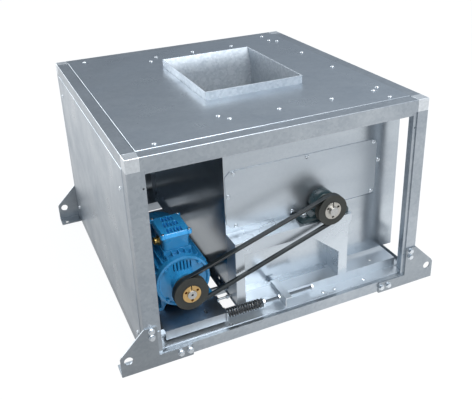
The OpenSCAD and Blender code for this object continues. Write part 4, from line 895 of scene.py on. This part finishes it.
class FAN_OT_belt(bpy.types.Operator):
    """Makes the belt: one closed ring round both pulleys, with its corners cut"""

    bl_idname = "fan.belt"
    bl_label = "Belt"
    bl_options = {"REGISTER", "UNDO"}

    def execute(self, context):
        half = BELT_WIDTH / 2
        low = half - BELT_DEPTH * BELT_LEAN
        # Half of the section, from the back inwards: out from the pulley, and along its shaft
        upper = [(0, half - BELT_CUT), (-BELT_CUT, half - BELT_CUT * 0.3),
                 (-BELT_DEPTH + BELT_CUT, low + BELT_CUT * 0.35),
                 (-BELT_DEPTH, low - BELT_CUT * 0.6)]
        section = upper + [(out, -along) for out, along in reversed(upper)]
        fan, motor = centre("fan_pulley"), centre("motor_pulley")
        fan_low, fan_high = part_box("fan_pulley")
        motor_low, motor_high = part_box("motor_pulley")
        fan_radius = (fan_high.z - fan_low.z) / 2
        motor_radius = (motor_high.z - motor_low.z) / 2
        middle = centre("drive_belt").y
        way = math.atan2(fan.z - motor.z, fan.x - motor.x)
        reach = math.hypot(fan.z - motor.z, fan.x - motor.x)
        slant = math.asin((motor_radius - fan_radius) / reach)
        steps = 64
        rings = []
        bm = bmesh.new()
        for hub, radius, first, sweep in (
                (motor, motor_radius, way + math.pi / 2 - slant, math.pi + 2 * slant),
                (fan, fan_radius, way - math.pi / 2 + slant, math.pi - 2 * slant)):
            for i in range(steps + 1):
                t = first + sweep * i / steps
                rings.append([bm.verts.new((
                    hub.x + (radius + out) * math.cos(t), middle + along,
                    hub.z + (radius + out) * math.sin(t))) for out, along in section])
        ring_faces(bm, rings, closed=True)
        span = (fan - motor).normalized()
        stretch = ("motor_carriage", "cabinet", motor + span * motor_radius,
                   fan - span * fan_radius)
        piece("v_belt", bm, "belt_rubber", stretch, ["drive_belt"])
        return {"FINISHED"}


class FAN_OT_bearings(bpy.types.Operator):
    """Makes the two cast bearing housings with their bolts"""

    bl_idname = "fan.bearings"
    bl_label = "Bearings"
    bl_options = {"REGISTER", "UNDO"}

    def execute(self, context):
        blocks = {"front_bearing_block": "front_housing", "rear_bearing_block": "rear_housing"}
        for node, name in blocks.items():
            self.housing(node, name)
        low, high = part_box("bearing_bolts")
        bm = bmesh.new()
        for node in blocks:
            for x in (low.x + BEARING_BOLT_INSET, high.x - BEARING_BOLT_INSET):
                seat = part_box(node)[0].z + BEARING_SEAT
                bolt(bm, at((x, centre(node).y, seat)), *BEARING_BOLT)
        piece("bearing_bolt_set", bm, "zinc_plate", "cabinet", ["bearing_bolts"])
        return {"FINISHED"}

    def housing(self, node, name):
        """A rounded foot, an arch with softened sides, and a collar through it"""
        low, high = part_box(node)
        mid = centre(node)
        shaft = centre("fan_shaft")
        half, length = (high.x - low.x) / 2, high.y - low.y
        deep = length - 4 * MM
        bm = bmesh.new()
        foot = round_box(2 * half, deep, deep * 0.36)
        tapered(bm, [(0, foot), (9 * MM, foot),
                     (BEARING_SEAT, [(x * 0.96, y * 0.9) for x, y in foot])],
                Matrix.Translation((mid.x, mid.y, low.z)))
        rise = shaft.z - low.z
        steps = 24
        body = [(BEARING_ARCH * math.cos(t), rise + BEARING_ARCH * math.sin(t))
                for t in (math.radians(-28 + 236 * i / steps) for i in range(steps + 1))]
        body += [(-half * 0.66, 12 * MM), (half * 0.66, 12 * MM)]
        flare = [(x * 0.93, rise + (y - rise) * 0.93) for x, y in body]
        thick = deep * 0.86
        place = Matrix(((1, 0, 0, mid.x), (0, 0, 1, mid.y - thick / 2), (0, 1, 0, low.z),
                        (0, 0, 0, 1)))
        tapered(bm, [(0, flare), (3 * MM, body), (thick - 3 * MM, body), (thick, flare)],
                place)
        end = [(BEARING_BORE, 0), (26 * MM, 0), (28 * MM, 1.5 * MM), (28.5 * MM, 5 * MM)]
        collar = end + [(radius, length - height) for radius, height in reversed(end)]
        lathe(bm, collar, at((shaft.x, low.y, shaft.z), Y_AXIS), closed=True)
        piece(name, bm, "green_casting", "cabinet", [node], angle=40)


class FAN_OT_tension_rod(bpy.types.Operator):
    """Makes the threaded rod of the belt tensioner with its nuts and washer"""

    bl_idname = "fan.tension_rod"
    bl_label = "Tension rod"
    bl_options = {"REGISTER", "UNDO"}

    def execute(self, context):
        low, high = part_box("tension_rod")
        spring = centre("tension_spring")
        spring_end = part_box("tension_spring")[1].x
        self.rod(low.x, high.x - low.x, spring, context.scene.fan_hardware.thread_pitch)
        tall, thick = TENSION_NUT[1], TENSION_WASHER[2]
        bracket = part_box("tension_bracket")[0].x
        bm = bmesh.new()
        for x in (spring_end + thick, bracket - tall, bracket + BRACKET_SHEET,
                  high.x - tall):
            spot = at((x, spring.y, spring.z), X_AXIS)
            hex_head(bm, spot @ Matrix.Rotation(math.radians(30), 4, "Z"), *TENSION_NUT)
        washer(bm, at((spring_end, spring.y, spring.z), X_AXIS), *TENSION_WASHER)
        piece("rod_and_nuts", bm, "zinc_plate", "cabinet", ["tension_rod"])
        return {"FINISHED"}

    def rod(self, start_x, length, axis, pitch):
        """The rod with a ridge for each turn of its thread"""
        outline = [(ROD_END, 0)]
        for i in range(int((length - 2 * MM) / pitch)):
            outline += [(THREAD_CREST, (i + 0.5) * pitch), (THREAD_ROOT, (i + 1) * pitch)]
        outline += [(THREAD_CREST, length - MM), (ROD_END, length)]
        bm = bmesh.new()
        lathe(bm, outline, at((start_x, axis.y, axis.z), X_AXIS), 18)
        piece("threaded_rod", bm, "threaded_steel", "cabinet")


class FAN_OT_spring(bpy.types.Operator):
    """Makes the spring that pushes the motor's plate away from the fan"""

    bl_idname = "fan.spring"
    bl_label = "Tension spring"
    bl_options = {"REGISTER", "UNDO"}

    def execute(self, context):
        wire = context.scene.fan_hardware.wire
        curls = context.scene.fan_hardware.curls
        low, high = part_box("tension_spring")
        axis = centre("tension_spring")
        radius = (high.y - low.y) / 2 - wire / 2
        first, last = low.x + wire, high.x - wire
        steps = 24 * curls
        points = [Vector((low.x, axis.y + radius, axis.z))]
        for i in range(steps + 1):
            t = 2 * math.pi * curls * i / steps
            points.append(Vector((first + (last - first) * i / steps,
                                  axis.y + radius * math.cos(t),
                                  axis.z + radius * math.sin(t))))
        points.append(Vector((high.x, points[-1].y, points[-1].z)))
        bm = bmesh.new()
        tube(bm, points, wire / 2, 10)
        squeeze = ("motor_carriage", "cabinet", low, Vector((high.x, low.y, low.z)))
        piece("coil_spring", bm, "black_oxide", squeeze, ["tension_spring"])
        return {"FINISHED"}


class FAN_OT_motor(bpy.types.Operator):
    """Dresses the motor's frame, shield, cowl and cooling fan"""

    bl_idname = "fan.motor"
    bl_label = "Motor"
    bl_options = {"REGISTER", "UNDO"}

    def execute(self, context):
        edge = context.scene.fan_finish.edge
        dress("motor_frame", "blue_enamel", edge * 1.8)
        dress("drive_end_shield", "blue_enamel", edge * 2.4, 3)
        dress("fan_cowl", "blue_enamel", edge * 1.2)
        dress("cooling_fan", "black_nylon", edge)
        return {"FINISHED"}


class FAN_OT_terminal_box(bpy.types.Operator):
    """Makes the motor's terminal box with its lid, screws and gland"""

    bl_idname = "fan.terminal_box"
    bl_label = "Terminal box"
    bl_options = {"REGISTER", "UNDO"}

    def execute(self, context):
        self.box()
        self.lid()
        self.gland()
        return {"FINISHED"}

    def box(self):
        """The box, which widens to its rim"""
        low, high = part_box("terminal_box")
        mid = centre("terminal_box")
        wide, deep, tall = high.x - low.x, high.y - low.y, high.z - low.z
        foot = round_box(wide * 0.92, deep * 0.94, 8 * MM)
        rim = round_box(wide, deep, 9 * MM)
        bm = bmesh.new()
        tapered(bm, [(0, foot), (tall * 0.55, foot), (tall * 0.8, rim), (tall, rim)],
                Matrix.Translation((mid.x, mid.y, low.z)))
        piece("terminal_box_body", bm, "blue_enamel", "motor_carriage", ["terminal_box"],
              bevel=1.5 * MM)

    def lid(self):
        """The lid with its rows of short slots, and an ear and a screw at each corner"""
        low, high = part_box("terminal_lid")
        mid = centre("terminal_lid")
        wide, deep, tall = high.x - low.x, high.y - low.y, high.z - low.z - 2 * MM
        rim = round_box(wide, deep, 10 * MM)
        top = round_box(wide - 7 * MM, deep - 7 * MM, 8 * MM)
        bm = bmesh.new()
        tapered(bm, [(0, rim), (tall * 0.6, rim), (tall, top)],
                Matrix.Translation((mid.x, mid.y, low.z)))
        # The lid wears the motor's blue painted paler: painted light on the lid's top
        lid = piece("terminal_box_lid", bm, "painted_light_lid_enamel", "motor_carriage", ["terminal_lid"])
        slot = round_box(4.6 * MM, 0.23 * deep, 1.5 * MM, 3)
        pitch, rows = 8.5 * MM, ((0.19, 5), (0.51, 5), (0.81, 4))
        bm = bmesh.new()
        for row_share, count in rows:
            for i in range(count):
                spot = (mid.x + (i - (count - 1) / 2) * pitch, low.y + row_share * deep,
                        low.z + 0.3 * tall)
                prism(bm, slot, Matrix.Translation(spot), tall)
        carve(lid, bm)
        round_edges(lid, 0.8 * MM)
        corners = [(mid.x + sx * (wide / 2 - 4 * MM), mid.y + sy * (deep / 2 - 4 * MM))
                   for sx in (-1, 1) for sy in (-1, 1)]
        ears, screws = bmesh.new(), bmesh.new()
        for x, y in corners:
            lathe(ears, [(6.6 * MM, 0.5 * MM), (6.6 * MM, tall - MM), (5.8 * MM, tall)],
                  Matrix.Translation((x, y, low.z)), 24)
            dome_screw(screws, at((x, y, low.z + tall)), LID_SCREW_HEAD, *LID_SCREW)
        # The ears wear the lid's paler blue too: painted light
        piece("lid_ears", ears, "painted_light_lid_enamel", "motor_carriage", bevel=0.8 * MM)
        piece("lid_screws", screws, "zinc_plate", "motor_carriage")

    def gland(self):
        """The hexagon, neck and rounded cap of the cable gland, on the box's left side"""
        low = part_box("terminal_box")[0]
        middle = centre("terminal_lid").y
        spot = at((low.x + 2 * MM, middle - 6 * MM, low.z + 14 * MM), -X_AXIS)
        bm = bmesh.new()
        hex_head(bm, spot, *GLAND_NUT)
        lathe(bm, [(8.5 * MM, 5 * MM), (8.5 * MM, 10 * MM), (10 * MM, 10.5 * MM),
                   (10 * MM, 13 * MM), (7 * MM, 15.5 * MM), (4.5 * MM, 16 * MM),
                   (4.3 * MM, 12 * MM)], spot, 24)
        piece("cable_gland", bm, "brass", "motor_carriage")


class FAN_OT_motor_bolts(bpy.types.Operator):
    """Makes the bolts of the motor's feet and shield, and the guide pin's stop nut"""

    bl_idname = "fan.motor_bolts"
    bl_label = "Motor bolts"
    bl_options = {"REGISTER", "UNDO"}

    def execute(self, context):
        shaft = centre("motor_shaft")
        seat = shaft.z - SHAFT_HEIGHT + MOTOR_FOOT
        bm = bmesh.new()
        for x in (shaft.x - MOTOR_BOLT_X, shaft.x + MOTOR_BOLT_X):
            for y in MOTOR_BOLT_Y:
                bolt(bm, at((x, y, seat)), *MOTOR_BOLT)
                hex_head(bm, at((x, y, seat - NUT_DEPTH), -Z_AXIS), *MOTOR_NUT)
        hex_head(bm, at(STOP_NUT_PLACE, X_AXIS), *STOP_NUT)
        piece("motor_bolt_set", bm, "zinc_plate", "motor_carriage", ["motor_bolts"])
        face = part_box("drive_end_shield")[0].y + SHIELD_BOLT_DEPTH
        bm = bmesh.new()
        for turn in (45, 135, 225, 315):
            t = math.radians(turn)
            spot = (shaft.x + SHIELD_BOLT_RADIUS * math.cos(t), face,
                    shaft.z + SHIELD_BOLT_RADIUS * math.sin(t))
            bolt(bm, at(spot, -Y_AXIS), *SHIELD_BOLT)
        piece("shield_bolts", bm, "blue_enamel", "motor_carriage")
        return {"FINISHED"}


class FAN_OT_foot_bolts(bpy.types.Operator):
    """Makes the bolts that hold the four feet"""

    bl_idname = "fan.foot_bolts"
    bl_label = "Foot bolts"
    bl_options = {"REGISTER", "UNDO"}

    def execute(self, context):
        bm = bmesh.new()
        for sx in (-1, 1):
            for sy in (-1, 1):
                for inset, height in FOOT_BOLT_PLACES:
                    spot = (sx * (CABINET_WIDTH / 2 - inset),
                            sy * (CABINET_DEPTH / 2 + FOOT_PLATE), height + FOOT_PLATE)
                    bolt(bm, at(spot, Vector((0, sy, 0))), *FOOT_BOLT)
        piece("foot_bolt_set", bm, "zinc_plate", "cabinet", ["foot_bolts"])
        return {"FINISHED"}


class FAN_OT_sheet_screws(bpy.types.Operator):
    """Makes every sheet screw, on the place of each solid of the CAD node"""

    bl_idname = "fan.sheet_screws"
    bl_label = "Sheet screws"
    bl_options = {"REGISTER", "UNDO"}

    def execute(self, context):
        head = context.scene.fan_hardware.screw_head / 2
        bm = bmesh.new()
        for low, high in self.solids("sheet_screws"):
            mid, size = (low + high) / 2, high - low
            way = max(range(3), key=lambda i: abs(size[i] - CAD_SCREW) < 0.3 * MM)
            if way == 2:
                spot, axis = Vector((mid.x, mid.y, high.z - CAD_SCREW_HEAD)), Z_AXIS
                if spot.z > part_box("top_panel")[0].z:
                    spot.z += PANEL_LIFT
                elif spot.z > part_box("outlet_collar")[0].z:
                    # The duct's lining covers the screws of the scroll's mouth
                    continue
            elif way == 1:
                spot, axis = Vector((mid.x, low.y + CAD_SCREW_HEAD, mid.z)), -Y_AXIS
            else:
                spot = Vector((low.x + CAD_SCREW_HEAD - SIDE_LIFT, mid.y, mid.z))
                axis = -X_AXIS
            dome_screw(bm, at(spot, axis), head, *SHEET_SCREW)
        piece("screw_set", bm, "zinc_plate", "cabinet", ["sheet_screws"])
        return {"FINISHED"}

    def solids(self, node):
        """The lowest and highest corner of each separate solid of a CAD node"""
        seek = bmesh.new()
        seek.from_mesh(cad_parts[node].data)
        bmesh.ops.remove_doubles(seek, verts=seek.verts, dist=0.001 * MM)
        # A dict keeps the order, so that every run makes the same mesh
        left = dict.fromkeys(seek.verts)
        while left:
            group, edge = [], [left.popitem()[0]]
            while edge:
                vert = edge.pop()
                group.append(vert)
                for link in vert.link_edges:
                    other = link.other_vert(vert)
                    if other in left:
                        del left[other]
                        edge.append(other)
            yield (Vector(min(v.co[i] for v in group) for i in range(3)),
                   Vector(max(v.co[i] for v in group) for i in range(3)))
        seek.free()


class FAN_OT_studio(bpy.types.Operator):
    """Makes the floor, the light and the camera"""

    bl_idname = "fan.studio"
    bl_label = "Studio"
    bl_options = {"REGISTER", "UNDO"}

    def execute(self, context):
        studio = context.scene.fan_studio
        self.floor()
        context.scene.world = self.sky(studio)
        self.lamp("key_lamp", *KEY_LAMP, studio.key)
        self.lamp("fill_lamp", *FILL_LAMP, studio.fill)
        context.scene.camera = self.camera()
        context.scene.view_settings.view_transform = "Standard"
        return {"FINISHED"}

    def floor(self):
        mesh = bpy.data.meshes.new("studio_floor")
        corners = rectangle(-FLOOR_REACH, -FLOOR_REACH, FLOOR_REACH, FLOOR_REACH)
        mesh.from_pydata([(x, y, 0) for x, y in corners], [], [(0, 1, 2, 3)])
        mesh.materials.append(self.floor_paint())
        put("studio_floor", mesh)

    def floor_paint(self):
        """Pale painted floor: white to the camera, so that it meets the white background,
        with part of the object's shadow kept"""
        paint, tree, place = start("pale_floor_paint")
        plain = add(tree, "ShaderNodeBsdfPrincipled", {
            "Base Color": rgba(linear("D8D9DA")), "Roughness": 0.9})
        spot = add(tree, "ShaderNodeSeparateXYZ", {0: place})
        ways = {"X": spot.outputs["X"], "Y": spot.outputs["Y"]}
        for name, axis in (("across", "X"), ("along", "Y")):
            ways[name] = add(tree, "ShaderNodeMath", {0: ways[axis]}, operation="ABSOLUTE")
        tones = {name: add(tree, "ShaderNodeMapRange", {
            "Value": ways[way], "From Min": near, "From Max": far, "To Min": first,
            "To Max": last}) for name, (way, near, far, first, last) in FLOOR_TONES.items()}
        sides = add(tree, "ShaderNodeMath", {
            0: tones["left"], 1: tones["right"]}, operation="ADD")
        beside = add(tree, "ShaderNodeMath", {
            0: tones["not_in_front"], 1: tones["near_right"], 2: sides},
            operation="MULTIPLY_ADD")
        behind = add(tree, "ShaderNodeMath", {0: tones["behind"], 1: beside},
                     operation="ADD")
        # Painted shade: the floor's glow is made darker under the object
        shaded = add(tree, "ShaderNodeMath", {
            0: tones["shade_across"], 1: tones["shade_along"]}, operation="MAXIMUM")
        seen = add(tree, "ShaderNodeMath", {0: behind, 1: shaded}, operation="MULTIPLY")
        paths = add(tree, "ShaderNodeLightPath")
        level = add(tree, "ShaderNodeMix", {
            "Factor": paths.outputs["Is Camera Ray"], "A": seen, "B": FLOOR_WHITE})
        glow = add(tree, "ShaderNodeEmission", {
            "Color": rgba(linear("FDFEFF")), "Strength": level})
        direct = add(tree, "ShaderNodeMath", {
            0: paths.outputs["Is Camera Ray"], 1: FLOOR_TO_CAMERA}, operation="MULTIPLY")
        share = add(tree, "ShaderNodeMath", {
            0: paths.outputs["Is Glossy Ray"], 1: FLOOR_TO_GLOSS, 2: direct},
            operation="MULTIPLY_ADD")
        mixed = add(tree, "ShaderNodeMixShader", {0: share, 1: plain, 2: glow})
        add(tree, "ShaderNodeOutputMaterial", {"Surface": mixed})
        return paint

    def sky(self, studio):
        """White to the camera, and soft light from all round"""
        world = bpy.data.worlds.new("studio_sky")
        world.use_nodes = True
        tree = world.node_tree
        tree.nodes.clear()
        way = add(tree, "ShaderNodeTexCoord").outputs["Generated"]
        parts = add(tree, "ShaderNodeSeparateXYZ", {0: way})
        tones = {name: add(tree, "ShaderNodeMapRange", {
            "Value": parts.outputs[axis], "From Min": near, "From Max": far, "To Min": first,
            "To Max": last}) for name, (axis, near, far, first, last) in SKY_TONES.items()}
        ramp = add(tree, "ShaderNodeValToRGB", {0: tones["height"]})
        stops = ramp.color_ramp.elements
        stops[0].position = SKY_STOPS[0][0]
        for position, _ in SKY_STOPS[1:-1]:
            stops.new(position)
        for stop, (_, colour) in zip(stops, SKY_STOPS):
            stop.color = rgba(linear(colour))
        paler = add(tree, "ShaderNodeMath", {
            0: tones["right"], 1: tones["front"]}, operation="ADD")
        strength = add(tree, "ShaderNodeMath", {
            0: paler, 1: studio.sky, 2: studio.sky * SKY_BASE}, operation="MULTIPLY_ADD")
        room = add(tree, "ShaderNodeBackground", {"Color": ramp, "Strength": strength})
        screen = add(tree, "ShaderNodeMath", {
            0: tones["screen_across"], 1: tones["screen_along"]}, operation="MULTIPLY")
        bright = add(tree, "ShaderNodeMath", {0: screen, 1: studio.screen},
                     operation="MULTIPLY")
        white = rgba(linear("FFFFFF"))
        panel = add(tree, "ShaderNodeBackground", {"Color": white, "Strength": bright})
        soft = add(tree, "ShaderNodeAddShader", {0: room, 1: panel})
        plain = add(tree, "ShaderNodeBackground", {"Color": white, "Strength": 1.0})
        paths = add(tree, "ShaderNodeLightPath")
        mixed = add(tree, "ShaderNodeMixShader", {
            0: paths.outputs["Is Camera Ray"], 1: soft, 2: plain})
        add(tree, "ShaderNodeOutputWorld", {"Surface": mixed})
        return world

    def lamp(self, name, place, target, size, power):
        data = bpy.data.lights.new(name, "AREA")
        data.shape = "SQUARE"
        data.size = size
        data.energy = power
        made = put(name, data)
        made.location = place
        made.visible_camera = False
        made.rotation_euler = (Vector(target) - Vector(place)).to_track_quat(
            "-Z", "Y").to_euler()

    def camera(self):
        """Stands where the photograph was taken, as fitted to the frame's corners"""
        data = bpy.data.cameras.new("camera")
        data.sensor_fit = "HORIZONTAL"
        data.sensor_width = 36.0
        data.lens = CAMERA_FOCUS * data.sensor_width / PHOTO_WIDTH
        data.shift_x = (PHOTO_WIDTH / 2 - CAMERA_MIDDLE[0]) / PHOTO_WIDTH
        data.shift_y = (CAMERA_MIDDLE[1] - PHOTO_HEIGHT / 2) / PHOTO_WIDTH
        data.clip_start, data.clip_end = 0.05, 100
        data.dof.use_dof = False
        azimuth, elevation, roll = (math.radians(angle) for angle in CAMERA_ANGLES)
        ahead = Vector((-math.sin(azimuth) * math.cos(elevation),
                        math.cos(azimuth) * math.cos(elevation), -math.sin(elevation)))
        level = Vector((math.cos(azimuth), math.sin(azimuth), 0))
        up = level.cross(ahead)
        right = level * math.cos(roll) + up * math.sin(roll)
        top = up * math.cos(roll) - level * math.sin(roll)
        turn = Matrix((right, top, -ahead)).transposed()
        made = put("camera", data)
        made.matrix_world = Matrix.Translation(CAMERA_PLACE) @ turn.to_4x4()
        return made


STEPS = (
    FAN_OT_finishes, FAN_OT_profiles, FAN_OT_panels, FAN_OT_outlet, FAN_OT_walls,
    FAN_OT_wheel, FAN_OT_pulleys, FAN_OT_belt, FAN_OT_bearings, FAN_OT_tension_rod,
    FAN_OT_spring, FAN_OT_motor, FAN_OT_terminal_box, FAN_OT_motor_bolts,
    FAN_OT_foot_bolts, FAN_OT_sheet_screws, FAN_OT_studio,
)


class FAN_PT_panel(bpy.types.Panel):
    """Lists the fan's sizes and steps"""

    bl_idname = "FAN_PT_panel"
    bl_label = "Box Fan"
    bl_space_type = "VIEW_3D"
    bl_region_type = "UI"
    bl_category = "Box Fan"

    def draw(self, context):
        column = self.layout.column()
        for group in (context.scene.fan_finish, context.scene.fan_hardware,
                      context.scene.fan_studio):
            for name in group.bl_rna.properties.keys():
                if name not in ("rna_type", "name"):
                    column.prop(group, name)
        for step in STEPS:
            column.operator(step.bl_idname)


CLASSES = (FanFinish, FanHardware, FanStudio, *STEPS, FAN_PT_panel)


def register():
    for kind in CLASSES:
        bpy.utils.register_class(kind)
    bpy.types.Scene.fan_finish = PointerProperty(type=FanFinish)
    bpy.types.Scene.fan_hardware = PointerProperty(type=FanHardware)
    bpy.types.Scene.fan_studio = PointerProperty(type=FanStudio)


def unregister():
    del bpy.types.Scene.fan_studio
    del bpy.types.Scene.fan_hardware
    del bpy.types.Scene.fan_finish
    for kind in reversed(CLASSES):
        bpy.utils.unregister_class(kind)


def main():
    register()
    bpy.ops.fan.finishes()
    bpy.ops.fan.profiles()
    bpy.ops.fan.panels()
    bpy.ops.fan.outlet()
    bpy.ops.fan.walls()
    bpy.ops.fan.wheel()
    bpy.ops.fan.pulleys()
    bpy.ops.fan.belt()
    bpy.ops.fan.bearings()
    bpy.ops.fan.tension_rod()
    bpy.ops.fan.spring()
    bpy.ops.fan.motor()
    bpy.ops.fan.terminal_box()
    bpy.ops.fan.motor_bolts()
    bpy.ops.fan.foot_bolts()
    bpy.ops.fan.sheet_screws()
    bpy.ops.fan.studio()
    bpy.context.view_layer.update()


if __name__ == "__main__":
    main()
